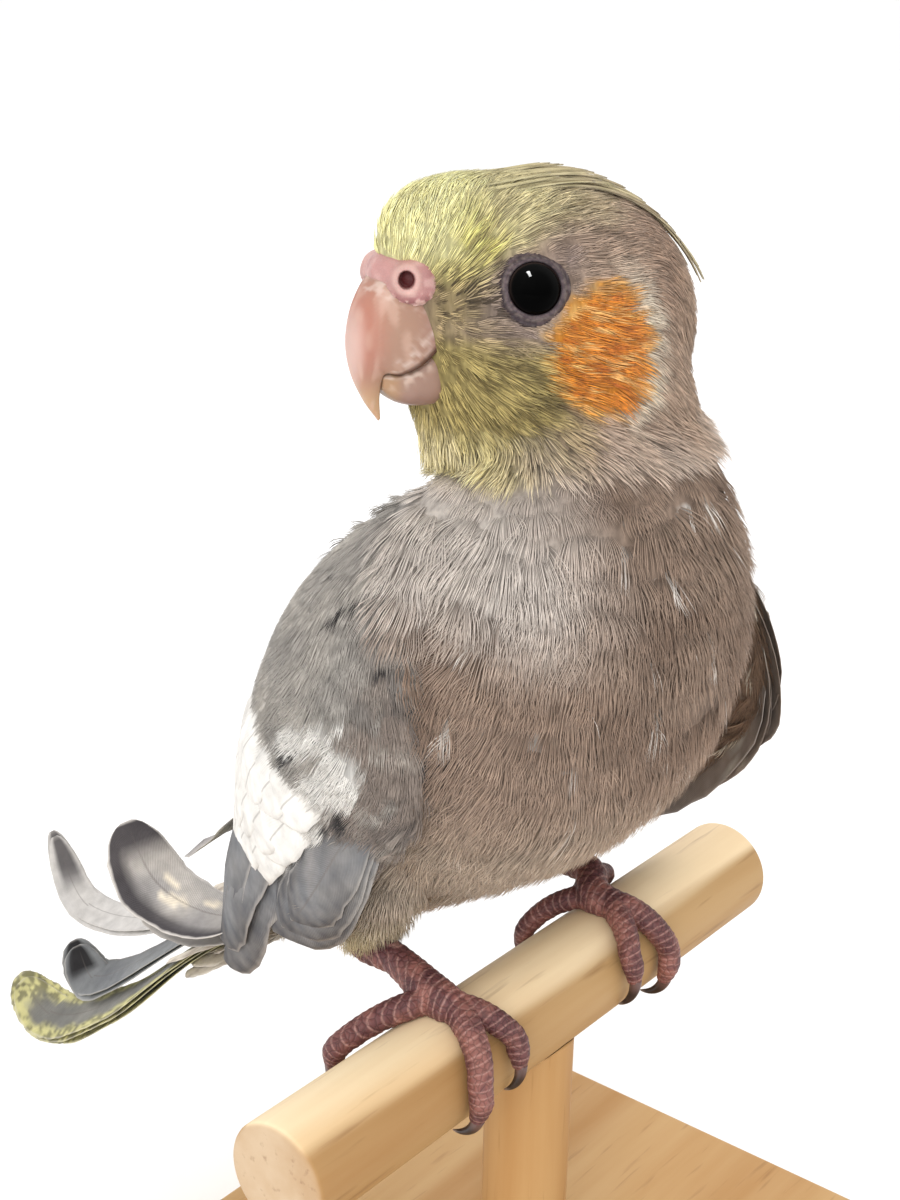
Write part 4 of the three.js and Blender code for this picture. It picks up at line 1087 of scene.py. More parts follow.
def largest_part(points, normals, triangles):
    """Only the largest connected part of a mesh."""
    label = np.arange(len(points))
    while True:
        low = label[triangles].min(1)
        after = label.copy()
        for corner in range(3):
            np.minimum.at(after, triangles[:, corner], low)
        after = after[after]
        if (after == label).all():
            break
        label = after
    names, counts = np.unique(label, return_counts=True)
    keep = label == names[counts.argmax()]
    number = np.cumsum(keep) - 1
    kept = triangles[keep[triangles[:, 0]]]
    return points[keep], normals[keep], number[kept]


def body_skin():
    """The body's skin inside the coat, from trunk, head, thighs, wings and tail joined into one."""
    parts = [closed_rings(trunk_rings(-BODY_COAT, 90, 90)), closed_rings(head_rings(-HEAD_COAT))]
    for side in SIDES:
        line, radii = thigh_line(side)
        parts.append(closed_rings(tube_rings(line, radii, 30, 36, -THIGH_COAT)))
        parts.append(closed_rings(wing_core_rings(side)))
    parts.append(closed_rings(tail_core_rings(-TAIL_COAT)))
    return largest_part(*remeshed(parts, SKIN_GRAIN, 6))


def nearest_wing(points):
    """For each point: the nearer wing's side, u and v there, and how far off it is."""
    u, v = np.meshgrid(np.linspace(0.0, 1.0, 60), np.linspace(-1, 1, 44), indexing="ij")
    tree = KDTree(2 * u.size)
    for number, side in enumerate(SIDES):
        for index, place in enumerate(wing_point(side, u, v).reshape(-1, 3)):
            tree.insert(place, number * u.size + index)
    tree.balance()
    found = [tree.find(p)[1:] for p in points]
    index = np.array([row[0] for row in found])
    far = np.array([row[1] for row in found])
    side = np.where(index < u.size, 1, -1)
    return side, u.ravel()[index % u.size], v.ravel()[index % u.size], far


class Skin:
    """The bird's skin, for walking over, with each place's spot on the nearer wing."""

    def __init__(self):
        self.points, self.normals, self.triangles = body_skin()
        self.tree = BVHTree.FromPolygons(self.points.tolist(), self.triangles.tolist())
        self.middles = self.points[self.triangles].mean(1)
        self.wing_side, self.wing_u, self.wing_v, self.wing_far = nearest_wing(self.middles)

    def nearest(self, points):
        spots = np.empty_like(points)
        ways = np.empty_like(points)
        for i, p in enumerate(points):
            spot, _, index, _ = self.tree.find_nearest(p)
            spots[i] = spot
            ways[i] = self.normals[self.triangles[index]].sum(0)
        return spots, unit(ways)

    def sample(self, spacing, seed, keep, row):
        """Roots spread evenly over the triangles where keep is true, in uneven rows unless row is 0."""
        draw = np.random.default_rng(seed)
        chosen = np.flatnonzero(keep)
        corners = self.points[self.triangles[chosen]]
        first, second, third = corners[:, 0], corners[:, 1], corners[:, 2]
        area = np.linalg.norm(np.cross(second - first, third - first), axis=1) / 2
        count = int(area.sum() / spacing ** 2 * (9 if row else 3))
        pick = draw.choice(len(chosen), count, p=area / area.sum())
        a = np.sqrt(draw.random((count, 1)))
        b = draw.random((count, 1))
        spots = first[pick] * (1 - a) + second[pick] * a * (1 - b) + third[pick] * a * b
        cells = np.floor(spots / spacing).astype(int)
        if row:
            height = spots[:, 2] / row + 3.2 * noise(spots, 11, seed)
            staggered = spots[:, :2] / spacing + 0.5 * (np.floor(height) % 2)[:, None]
            cells = np.floor(np.column_stack([staggered, height])).astype(int)
            in_row = np.abs(height % 1 - 0.5) < 0.3
            spots, pick, cells = spots[in_row], pick[in_row], cells[in_row]
        _, roots = np.unique(cells, axis=0, return_index=True)
        roots = np.sort(roots)
        ways = self.normals[self.triangles[chosen[pick[roots]]]].sum(1)
        return spots[roots], unit(ways)


def trunk_lie(points):
    """The way from head to tail along the trunk, at each point's height."""
    t = np.linspace(0, 1, 60)
    line = catmull(TRUNK, t)
    way = np.gradient(line[:, [0, 2]], axis=0)
    up = BODY.local(points)[..., 2]
    forward = np.interp(-up, -line[:, 2], way[:, 0])
    down = np.interp(-up, -line[:, 2], way[:, 1])
    return unit(BODY.direction(forward, 0 * forward, down))


def head_lie(points):
    """Away from the bill's root over the head, and down the nape."""
    local = HEAD.local(points)
    away = unit(points - HEAD.point(19, 0, 2.5))
    down = HEAD.direction(-0.25, 0.0, -1.0)
    share = smoothstep(-3, -17, local[..., 0]) + smoothstep(-9, -17, local[..., 2])
    return unit(blend(away, np.broadcast_to(down, away.shape), np.clip(share, 0, 1)))


def coat_lie(points):
    body = BODY.local(points)
    way = blend(trunk_lie(points), head_lie(points), smoothstep(68, 84, body[..., 2]))
    legs = smoothstep(21, 15, body[..., 2]) * smoothstep(11, 13, np.abs(body[..., 1]))
    legs = legs * smoothstep(-26, -22, body[..., 0])
    return unit(blend(way, np.broadcast_to(-UP, way.shape), legs))


def wing_lie_way(points):
    """The way from shoulder to tip at each point's place on the nearer wing."""
    side, u, v, _ = nearest_wing(points)
    on_left = (side > 0)[:, None]
    left, right = wing_lie(1, u, v), wing_lie(-1, u, v)
    along, across = (np.where(on_left, left[i], right[i]) for i in (0, 1))
    return unit(along + 0.12 * across)


def wing_paint(points):
    side, u, v, _ = nearest_wing(points)
    return np.where((side > 0)[:, None], wing_colour(1, points, u, v), wing_colour(-1, points, u, v))


def coat_patch(points, number, count, share):
    """Each tuft's patch on the skin unwrapped about the bird's own axis."""
    local = BODY.local(points)
    u = 0.02 + 0.95 * (np.arctan2(local[:, 1], local[:, 0] + 8) / (2 * np.pi) + 0.5)
    v = 0.02 + 0.95 * np.clip((local[:, 2] + 30) / 155, 0, 1)
    return np.stack([u + 0.003 * number / count, v + 0.003 * share], -1)


def plume_paths(skin, plume, roots, ways, long, twist):
    """Each small feather's line over the skin: its points, the ways out and the ways across."""
    path, outs, sides = [roots], [ways], []
    for step in range(WALK_STEPS + 1):
        lie = plume.lie(path[-1])
        lie = unit(lie - outs[-1] * np.sum(lie * outs[-1], -1, keepdims=True))
        heading = unit(lie + np.cross(outs[-1], lie) * twist[:, None])
        sides.append(np.cross(outs[-1], heading))
        if step < WALK_STEPS:
            spot, way = skin.nearest(path[-1] + heading * (long / WALK_STEPS)[:, None])
            path.append(spot)
            outs.append(unit(0.5 * outs[-1] + way))
    return tuple(np.stack(v, 1) for v in (path, outs, sides))


def barb_faces(segments):
    """The triangles of one closed barb: three-cornered rings that end in a point, all facing outwards."""
    faces = [[0, 2, 1]]
    sides = ((0, 1), (1, 2), (2, 0))
    for a in range(0, 3 * segments - 3, 3):
        for i, j in sides:
            faces += [[a + i, a + j + 3, a + i + 3], [a + i, a + j, a + j + 3]]
    a = 3 * (segments - 1)
    faces += [[a + i, a + j, 3 * segments] for i, j in sides]
    return np.array(faces)


def barb_points(plume, roots, paths, draw):
    """Every barb's corners: three at each cut along it and one at its tip."""
    count, barbs = len(roots), plume.barbs
    shape = (count, barbs)
    across = np.linspace(-1, 1, barbs)[None, :] + 0.5 / barbs * draw.standard_normal(shape)
    reach = (1 - 0.3 * np.abs(across) ** 2.2) * (1 - plume.ragged * draw.random(shape))
    lift = plume.depth(roots)[:, None] * (0.7 + 0.6 * draw.random(shape))
    thick = plume.width(roots)[:, None] * (0.75 + 0.5 * draw.random(shape))
    index = np.arange(count)[:, None]
    rows = []
    for cut in range(BARB_CUTS + 1):
        share = cut / BARB_CUTS
        at = np.clip(share * reach, 0, 1) * WALK_STEPS
        low = np.minimum(at.astype(int), WALK_STEPS - 1)
        part = (at - low)[..., None]
        middle, out, side = (v[index, low] * (1 - part) + v[index, low + 1] * part for v in paths)
        out, side = unit(out), unit(side)
        sideways = across * (plume.base + plume.spread * math.sin(0.5 * math.pi * share))
        height = -0.3 + (lift + 0.3) * share ** 0.8 - 0.12 * across ** 2
        middle = middle + side * sideways[..., None] + out * height[..., None]
        if cut == BARB_CUTS:
            rows.append(middle)
            continue
        half = (0.5 * thick * (1.0 if cut == 0 else 1.0 - 0.35 * share))[..., None]
        rows += [middle - side * half, middle + side * half, middle + out * (0.9 * half)]
    return np.stack(rows, 2)


def coat_piece(name, skin, material, keep, plume, seed):
    """Small feathers of fine barbs over the part of the skin where keep is true."""
    roots, ways = skin.sample(plume.spacing, seed, keep, plume.row)
    count, barbs = len(roots), plume.barbs
    draw = np.random.default_rng(seed + 1)
    long = plume.length(roots) * (0.85 + 0.3 * draw.random(count))
    twist = 0.5 * (noise(roots, 9, seed) - 0.5) + plume.twist * draw.standard_normal(count)
    points = barb_points(plume, roots, plume_paths(skin, plume, roots, ways, long, twist), draw)
    each = points.shape[2]
    total = count * barbs
    triangles = barb_faces(BARB_CUTS)[None] + (np.arange(total) * each)[:, None, None]

    shares = np.append(np.repeat(np.arange(BARB_CUTS) / BARB_CUTS, 3), 1.0)
    tone = 1 + plume.contrast * (draw.random(total) - 0.5)
    tone = tone * np.repeat(0.92 + 0.16 * draw.random(count), barbs)
    # Each barb is darker towards its root, as painted shade deep in the coat, and a little lighter at its tip
    tone = tone[:, None] * (plume.root_tone + (1.08 - plume.root_tone) * shares ** 0.8)
    tints = plume.paint(points[:, :, each // 2].reshape(-1, 3))[:, None, :] * tone[..., None]
    number = np.tile(np.repeat(np.arange(barbs), each), count)
    patches = coat_patch(np.repeat(roots, barbs * each, axis=0), number, barbs, np.tile(shares, total))
    shape = Shape()
    shape.add(points, triangles, tints, patches)
    make_piece(name, shape, material)


def vane_width(t, narrow, round_from=0.62):
    rise = narrow + (1 - narrow) * np.sin(np.minimum(t / 0.45, 1) * np.pi / 2)
    tip = np.sqrt(np.clip(1 - (np.maximum(t - round_from, 0) / (1.003 - round_from)) ** 2.2, 0, 1))
    return rise * tip


def plate_triangles(rows, columns):
    """The triangles of a thin closed sheet: its upper grid, its lower grid and the rim between them."""
    r = np.arange(rows - 1)[:, None] * columns
    c = np.arange(columns - 1)[None, :]
    a = (r + c).ravel()
    b, d, e = a + 1, a + columns, a + columns + 1
    upper = np.concatenate([np.stack([a, b, e], -1), np.stack([a, e, d], -1)])
    last = (rows - 1) * columns
    border = np.concatenate([
        np.arange(columns),
        np.arange(2, rows + 1) * columns - 1,
        np.arange(last + columns - 2, last - 1, -1),
        np.arange(rows - 2, 0, -1) * columns,
    ])
    p, q = border, np.roll(border, -1)
    n = rows * columns
    rim = np.concatenate([np.stack([p, p + n, q + n], -1), np.stack([p, q + n, q], -1)])
    return np.concatenate([upper, upper[:, ::-1] + n, rim])


def plate(shape, middle, out, tints, under, half):
    """A thin closed feather over a grid, half as thick as half says.

    Tints and under are the colours of its two faces, and the last one of each is how pale its edge is.
    """
    rows, columns = middle.shape[:2]
    s = np.linspace(-1, 1, columns)
    t = np.linspace(0, 1, rows)
    thick = (half * (1 - 0.75 * s ** 2) + 0.02)[None, :] * (1 - 0.6 * t[:, None])
    shaft = 0.07 * np.exp(-(s / 0.1) ** 2)[None, :] * (1 - 0.8 * t[:, None])
    top = middle + out * (thick + shaft)[..., None]
    low = middle - out * (thick + 0.7 * shaft)[..., None]
    points = np.concatenate([top.reshape(-1, 3), low.reshape(-1, 3)])
    triangles = turned_out(points, plate_triangles(rows, columns))
    grid = np.stack(np.broadcast_arrays((s[None, :] + 1) / 2, t[:, None]), -1).reshape(-1, 2)
    cell = [shape.feathers % shape.cells, shape.feathers // shape.cells]
    side_by_side = np.concatenate([grid * [0.44, 0.92], grid * [0.44, 0.92] + [0.5, 0]]) + [0.03, 0.04]
    colours = np.concatenate([tints.reshape(-1, 4), under.reshape(-1, 4)])
    shape.add(points, triangles, colours, (side_by_side + cell) / shape.cells, np.concatenate([grid, grid]))
    shape.feathers += 1


def vane_grid(rows, columns, half_width, narrow, ragged, seed, round_from=0.62):
    """A feather's shares along and across, and each place's offset across in mm, with an uneven edge."""
    t = 1 - (1 - np.linspace(0, 1, rows)) ** 1.35
    s = np.linspace(-1, 1, columns)
    width = half_width * vane_width(t, narrow, round_from)
    draw = np.random.default_rng(seed)
    uneven = 1 + ragged * (draw.random((rows, 2)) - 0.7)
    edge = np.where(s < 0, uneven[:, :1], uneven[:, 1:])
    offset = width[:, None] * s[None, :] * np.where(np.abs(s) > 0.95, edge, 1)
    return t, s, offset


def wing_feather(shape, side, kind, start, end, half_width, lift, seed):
    """A feather over a wing from one (u, v) to another, rising from under the coat."""
    t, s, offset = vane_grid(16, 9, half_width, 0.5, 0.1, seed)
    u, v = (np.broadcast_to((a + (b - a) * t)[:, None], offset.shape) for a, b in zip(start, end))
    places_v = v + offset / wing_lie(side, u, v)[3]
    places_u = u - 0.012 * (s ** 2)[None, :] * t[:, None]
    out = wing_lie(side, places_u, places_v)[2]
    rise = -0.9 + (lift + 0.9) * np.minimum(t * 1.6, 1) - 0.45 * np.maximum(t * 3 - 2, 0)
    bend, slope = (0.12, 0.03) if kind == "white" else (0.4, 0.12)
    camber = -bend * (s ** 2)[None, :] * min(half_width / 4, 1)
    height = rise[:, None] + slope * offset + camber
    middle = wing_point(side, places_u, places_v) + out * height[..., None]
    tint, edge = feather_colour(side, kind, middle, places_u, places_v, t[:, None], s[None, :], seed)
    top = np.concatenate([tint, np.full(offset.shape + (1,), edge)], -1)
    plate(shape, middle, out, top, dulled(top), 0.07 + 0.004 * half_width)


def dulled(tint):
    """A vane's underside: half as grey as the back, with a plainer edge."""
    under = tint.copy()
    under[..., :3] = blend(under[..., :3], BACK_GREY, 0.5)
    under[..., 3] *= 0.5
    return under


def row_feather(shape, side, number, index, share, row, draw):
    """One feather of a wing's row, with its own small differences."""
    kind, _, root, tip, half_width, lift, v_low, v_high = row
    v = (v_low + (v_high - v_low) * share) * (1 - 0.1 * root)
    jitter = draw.uniform(-1, 1, 3)
    tip += 0.012 * jitter[0]
    if kind == "white":
        tip -= 0.11 * smoothstep(-0.2, 0.5, v)
    elif kind == "front":
        tip += 0.13 * (share - 0.7)
        lift *= 1.15 - share
    elif kind == "flight":
        tip -= 0.06 * abs(v) ** 3
    width = half_width * (1 + 0.08 * jitter[1])
    seed = 1000 + 100 * number + index + (50 if side > 0 else 0)
    wing_feather(shape, side, kind, (root + 0.012 * jitter[2], v), (tip, v), width, lift, seed)


def wing_piece(side, material):
    """A wing's rows of overlapping feathers, and on the right one its two lobes and its curled feathers."""
    shape = Shape(cells=9)
    draw = np.random.default_rng(71 + side)
    for number, row in enumerate(LEFT_ROWS if side > 0 else RIGHT_ROWS):
        count = row[1]
        for index in range(count):
            share = (index + 0.3 * (number % 2)) / (count - 0.7)
            row_feather(shape, side, number, index, share, row, draw)
        if side < 0 and number == 1:
            for start, end, half_width, lift in LOBES:
                wing_feather(shape, side, "flight", start, end, half_width, lift, 2000 + shape.feathers)
    if side < 0:
        for line, half_width, kind, tilt in CURLED:
            places = BODY.point(*np.array(line, float).T)
            free_feather(shape, places, BODY.left, half_width, kind, 900 + shape.feathers, tilt, 0.1)
    name = f"wing_{SIDES[side]}"
    make_piece(f"feathers_{name}", shape, material, (name,))


def free_feather(shape, line, left, half_width, kind, seed, tilt, cup, rows=34, columns=13):
    """A feather along a free line, cupped a little and tilted about its shaft."""
    t, s, offset = vane_grid(rows, columns, half_width, 0.4, 0.06, seed, 0.7)
    middle = catmull(line, t)
    along = unit(catmull(line, np.minimum(t + 0.01, 1)) - catmull(line, np.maximum(t - 0.01, 0)))
    out = unit(np.cross(left, along))
    out = out * np.sign(out @ (UP + 0.6 * BODY.forward))[:, None]
    ripple = 0.1 * np.sin(t[:, None] * 30 + seed) * s ** 2
    height = offset * tilt * t[:, None] - np.abs(offset) * cup + ripple
    points = middle[:, None, :] + left * offset[..., None] + out[:, None, :] * height[..., None]
    outs = np.broadcast_to(out[:, None, :], points.shape)
    top, under = free_colour(kind, points, t[:, None] + 0 * s, s[None, :] + 0 * t[:, None])
    plate(shape, points, outs, top, under, 0.14)


def free_top(kind, points, t, s, web, cloud):
    """Colours of a long feather's upper face, by kind."""
    if kind == "covert":
        mottle = smoothstep(0.45, 0.7, noise(points, 1.8, 44))
        return blend(colour(226, 216, 200), colour(168, 152, 138), 0.75 * mottle)
    top = web
    if kind == "banded":
        band = np.maximum(smoothstep(0.35, 0.75, -s + 0.4 * (t - 0.6)), smoothstep(0.82, 0.93, t))
        top = blend(web, FREE_DARK, 0.94 * band)
        for at, out in ((0.62, 0.05), (0.66, -0.2), (0.5, 0.4), (0.72, 0.3)):
            spot = np.exp(-(((t - at) / 0.05) ** 2 + ((s - out) / 0.12) ** 2))
            top = blend(top, CREAM, smoothstep(0.25, 0.6, spot))
    elif kind == "pale":
        blotch = smoothstep(0.8, 0.9, t) * smoothstep(0.85, 0.4, np.abs(s - 0.1))
        top = blend(blend(web, colour(214, 211, 208), 0.7), FREE_DARK, 0.85 * blotch)
    elif kind == "slate":
        top = blend(colour(150, 152, 152), colour(112, 114, 118), cloud)
        blotch = smoothstep(0.82, 0.88, t + 0.05 * (cloud - 0.5)) * smoothstep(0.85, 0.45, np.abs(s + 0.15))
        top = blend(top, FREE_DARK * 0.3, 0.95 * blotch)
    elif kind == "speckled":
        top = blend(colour(140, 138, 132), colour(104, 104, 102), cloud)
    elif kind == "grey":
        top = blend(web, colour(120, 116, 118), 0.7 * smoothstep(0.8, 0.97, t))
    return top * (0.85 + 0.15 * smoothstep(0, 0.4, t))[..., None]


def free_colour(kind, points, t, s):
    """Colours of a long feather's two faces, with how pale its edge is as the last one of each."""
    cloud = noise(points, 5, 41)
    web = blend(colour(190, 184, 178), colour(160, 156, 154), smoothstep(0.35, 0.8, cloud))
    top = free_top(kind, points, t, s, web, cloud)
    speckle = smoothstep(0.42, 0.62, noise(points, 0.8, 43))
    under = blend(colour(210, 204, 144), colour(118, 114, 84), 0.85 * speckle)
    if kind in ("banded", "grey", "covert"):
        under = blend(under, web, 0.8)
    elif kind == "pale":
        under = blend(under, colour(206, 203, 198), 0.75)
    elif kind == "slate":
        under = blend(under, colour(128, 128, 126), 0.6)
    elif kind == "speckled":
        rim = smoothstep(0.35, 0.75, np.abs(s) + 0.3 * (noise(points, 2.5, 45) - 0.5))
        top = blend(top, under, 0.9 * np.maximum(rim, smoothstep(0.85, 0.95, t)))
    edge = np.full(t.shape + (1,), 0.9 if kind == "banded" else 0.3)
    return np.concatenate([top, edge], -1), np.concatenate([under, 0.3 * edge], -1)


def tail_bundles(shape, draw):
    """The long feathers of the three bundles, each one a little below and shorter than the last."""
    for kind, count, wide, line, grid in TAIL_BUNDLES:
        share = np.linspace(0, 1, len(line))
        for index in range(count):
            f, l, u = np.array(line, float).T
            shift = index * (-0.5 if index % 2 else 0.5) * share
            places = TAIL.point(f + index * TAIL_SHORTER * share, l + shift, u - index * TAIL_STEP)
            half_width = wide * (1 + 0.05 * draw.uniform(-1, 1))
            free_feather(
                shape, places, TAIL.left, half_width, kind, 300 + shape.feathers, TAIL_TILT, 0.04, *grid
            )


def tail_coverts(shape, draw):
    """Soft feathers over and under the tail's root, in three rows each."""
    for high, start in ((1, 5.2), (-1, -5.0)):
        for row, (count, far, half_width) in enumerate(((5, 33, 4.4), (5, 24, 4.0), (4, 15, 3.6))):
            for index in range(count):
                across = (index - (count - 1) / 2) * 1.2
                reach = far + 3 * draw.uniform(-1, 1) - 1.2 * abs(across)
                rise = start - high * 0.7 * abs(across) + 0.5 * high * row
                line = TAIL.point(
                    [1.0, -0.5 * reach, -reach],
                    across * np.array([2.6, 3.1, 3.5]),
                    [rise, rise - 0.29 * reach, rise - 0.62 * reach + high * 0.8],
                )
                seed = 400 + shape.feathers
                free_feather(shape, line, TAIL.left, half_width, "covert", seed, 0.0, 0.14, 16, 9)


def tail_loose(shape, draw):
    """Loose soft feathers that hang below the tail's root."""
    for index in range(9):
        left = -9 + 10 * index / 8
        reach = 28 + 6 * draw.uniform(-1, 1)
        line = TAIL.point(
            [-1, -0.5 * reach, -reach],
            [0.5 * left, 0.8 * left, left],
            [-4, -4 - 0.38 * reach, -0.84 * reach + 1.5 * draw.uniform(-1, 1)],
        )
        free_feather(shape, line, TAIL.left, 3.2, "covert", 500 + shape.feathers, 0.3, 0.14, 20, 9)


def tail_piece(material):
    shape = Shape(cells=8)
    draw = np.random.default_rng(88)
    tail_bundles(shape, draw)
    tail_coverts(shape, draw)
    tail_loose(shape, draw)
    make_piece("feathers_tail", shape, material, ("tail",))


def crest_piece(material):
    """Narrow feathers from the crown, lying back over the head, the first few with their tips free."""
    shape = Shape(cells=12)
    draw = np.random.default_rng(23)
    t = np.linspace(0, 1, 16)
    s = np.linspace(-1, 1, 5)
    for index in range(CREST_STRANDS):
        place = draw.uniform(-1, 1)
        start = 44 + 50 * draw.random()
        end = min(start + 36 + 30 * draw.random() + 14 * (start > 68), 158 - 12 * abs(place))
        rise_end = 0.25
        if index < CREST_FREE:
            place *= 0.4
            start = 84 + 14 * draw.random()
            end = 164 + 9 * draw.random()
            rise_end = 1.0 + 1.8 * draw.random()
        angle = np.radians(start + (end - start) * t)
        wave = 0.4 * draw.uniform(-1, 1) * t ** 2
        sideways = (place * 5.2 * (1 + 0.3 * t) + wave) / HEAD_HALF_WIDTH
        direction = unit(np.stack([np.cos(angle), sideways, np.sin(angle)], -1))
        out = head_normal(direction)
        rise = -0.8 + 1.1 * t + rise_end * t ** 3
        half_width = (0.14 + 0.12 * draw.random()) * vane_width(t, 0.5, 0.35)
        middle = head_point(direction) + out * rise[:, None]
        points = middle[:, None, :] + HEAD.left * (half_width[:, None] * s)[..., None]
        points = points - out[:, None, :] * (0.12 * s ** 2)[..., None]
        outs = np.broadcast_to(out[:, None, :], points.shape)
        strand = blend(CREST_PALE, CREST_DARK, draw.random() ** 1.4)
        tint = blend(plumage(points), strand, 0.6) * (0.9 + 0.3 * draw.random())
        tint = np.concatenate([tint, np.full(points.shape[:2] + (1,), 0.25)], -1)
        plate(shape, points, outs, tint, tint, 0.06)
    make_piece("crest", shape, material)


def cutting_edge(forward):
    """How high the upper bill's cutting edge lies, at places along the head."""
    return np.interp(forward, UPPER_BILL[:5, 2], UPPER_BILL[:5, 3])


def bill_rings(stations, rows, arc, floor, inset):
    """Rings of an arch from edge to edge over a ridge, closed below by a shallow hollow."""
    here = catmull(stations, np.linspace(0, 1, rows))
    ridge = HEAD.point(here[:, 0], 0, here[:, 1])
    edge = HEAD.point(here[:, 2], 0, here[:, 3])[:, None, :]
    angle = np.linspace(0, np.pi, arc)
    wide = np.sign(np.cos(angle)) * np.abs(np.cos(angle)) ** 0.72
    high = np.sin(angle) ** 0.86
    over = ridge[:, None, :] - edge
    left = HEAD.left * here[:, 4][:, None, None]
    arch = edge + over * high[None, :, None] + left * wide[None, :, None]
    x = np.linspace(-1, 1, floor + 2)[1:-1]
    hollow = edge + over * (inset * (1 - x ** 2))[None, :, None] + left * x[None, :, None]
    return np.concatenate([arch, hollow], 1)


def flaked(rings, rows_of, lip_at, lip, seed):
    """Rings with a thin uneven lip of flaking horn beside the cutting edge and the cere."""
    rings = rings.copy()
    middle = rings.mean(1, keepdims=True)
    out = unit(rings - middle)
    rough = noise(rings, 0.8, seed) - 0.35
    near_edge = np.exp(-((rows_of - lip_at) / 0.055) ** 2)
    rings += out * (lip * near_edge * (0.4 + 1.4 * rough))[..., None]
    return rings


def upper_bill(material):
    """The hooked upper bill: pink horn with flakes beside the cere, a painted highlight on its front curve and
    a dark line of painted shade at its edge.
    """
    arc, floor = 61, 15
    rings = bill_rings(UPPER_BILL, 90, arc, floor, 0.3)
    high = np.concatenate([np.sin(np.linspace(0, np.pi, arc)) ** 0.86, np.full(floor, 0.9)])
    along = np.linspace(0, 1, len(rings))[:, None]
    beside = np.broadcast_to(high[None, :], rings.shape[:2])
    rings = flaked(rings, beside, 0.17, 0.16 * smoothstep(0.75, 0.5, along), 55)
    points, triangles = closed_rings(rings)
    f, l, u = HEAD.local(points).T
    tint = blend(colour(158, 124, 106), colour(184, 150, 118), smoothstep(-3, -9, u))
    tint = blend(tint, colour(176, 112, 96), 0.7 * smoothstep(22.5, 26, f) * smoothstep(-8, -1, u))
    # A painted highlight: paler pink over the bill's foremost curve
    tint = blend(tint, colour(214, 184, 174), 0.75 * smoothstep(25.4, 26.8, f))
    tint = blend(tint, colour(150, 114, 110), 0.8 * smoothstep(21, 16, f))
    grain = noise(np.stack([f * 1.2, l, u * 0.25], -1), 0.8, 57)
    tint = blend(tint, colour(204, 172, 156), 0.35 * smoothstep(0.5, 0.8, grain))
    share = np.append(beside.ravel(), [0.5, 0.5])
    flaky = np.exp(-((share - 0.17) / 0.1) ** 2) * smoothstep(23.6, 22.5, f)
    flaky = np.maximum(flaky, smoothstep(3.6, 5.2, u + 0.35 * (22 - f)) * smoothstep(17, 19, f))
    flakes = smoothstep(0.4, 0.7, noise(points * [1, 1, 1.7], 0.7, 53))
    tint = blend(tint, colour(206, 186, 176), 0.65 * flaky * flakes)
    # Painted shade: a dark line along the cutting edge, where the mouth's gap lies
    tint = blend(tint, colour(60, 30, 28), 0.85 * smoothstep(0.06, 0.0, share) * smoothstep(23.2, 22.2, f))
    whole_piece("upper_bill", points, triangles, tint, material, ("bill_upper",))


def lower_bill(material):
    here = catmull(LOWER_BILL, np.linspace(0, 1, 50))
    top = HEAD.point(here[:, 0], 0, here[:, 1])
    low = HEAD.point(here[:, 2], 0, here[:, 3])
    depth = np.linalg.norm(top - low, axis=1) / 2
    side = np.broadcast_to(HEAD.left, top.shape)
    rings = ellipse((top + low) / 2, side, unit(top - low), here[:, 4], depth, 72, 0.7)
    uneven = 0.14 * (noise(rings, 1.1, 56) - 0.5)
    rings = rings + unit(rings - rings.mean(1, keepdims=True)) * uneven[..., None]
    points, triangles = closed_rings(rings)
    f, _, u = HEAD.local(points).T
    below = cutting_edge(f) - u
    tint = blend(colour(152, 122, 108), colour(140, 108, 98), smoothstep(-5, -9, u))
    tint = blend(tint, colour(172, 136, 98), 0.7 * smoothstep(20.8, 22.6, f))
    flakes = smoothstep(0.4, 0.7, noise(points * [1, 1, 1.7], 0.8, 54))
    tint = blend(tint, colour(204, 182, 168), 0.65 * smoothstep(2.6, 1.0, below) * flakes)
    # Painted shadow: dark just below the upper bill's cutting edge, which overhangs the mandible
    tint = blend(tint, colour(44, 20, 20), 0.95 * smoothstep(0.5, 0.2, below) * smoothstep(22.6, 21, f))
    whole_piece("lower_bill", points, triangles, tint, material, ("bill_lower",))


def ball(middle, sizes):
    """A ball in the head's frame."""
    directions = sphere_directions(24, 32) * np.asarray(sizes, float)
    offset = directions[..., :1] * HEAD.forward + directions[..., 1:2] * HEAD.left + directions[..., 2:] * UP
    return closed_rings(middle + offset)


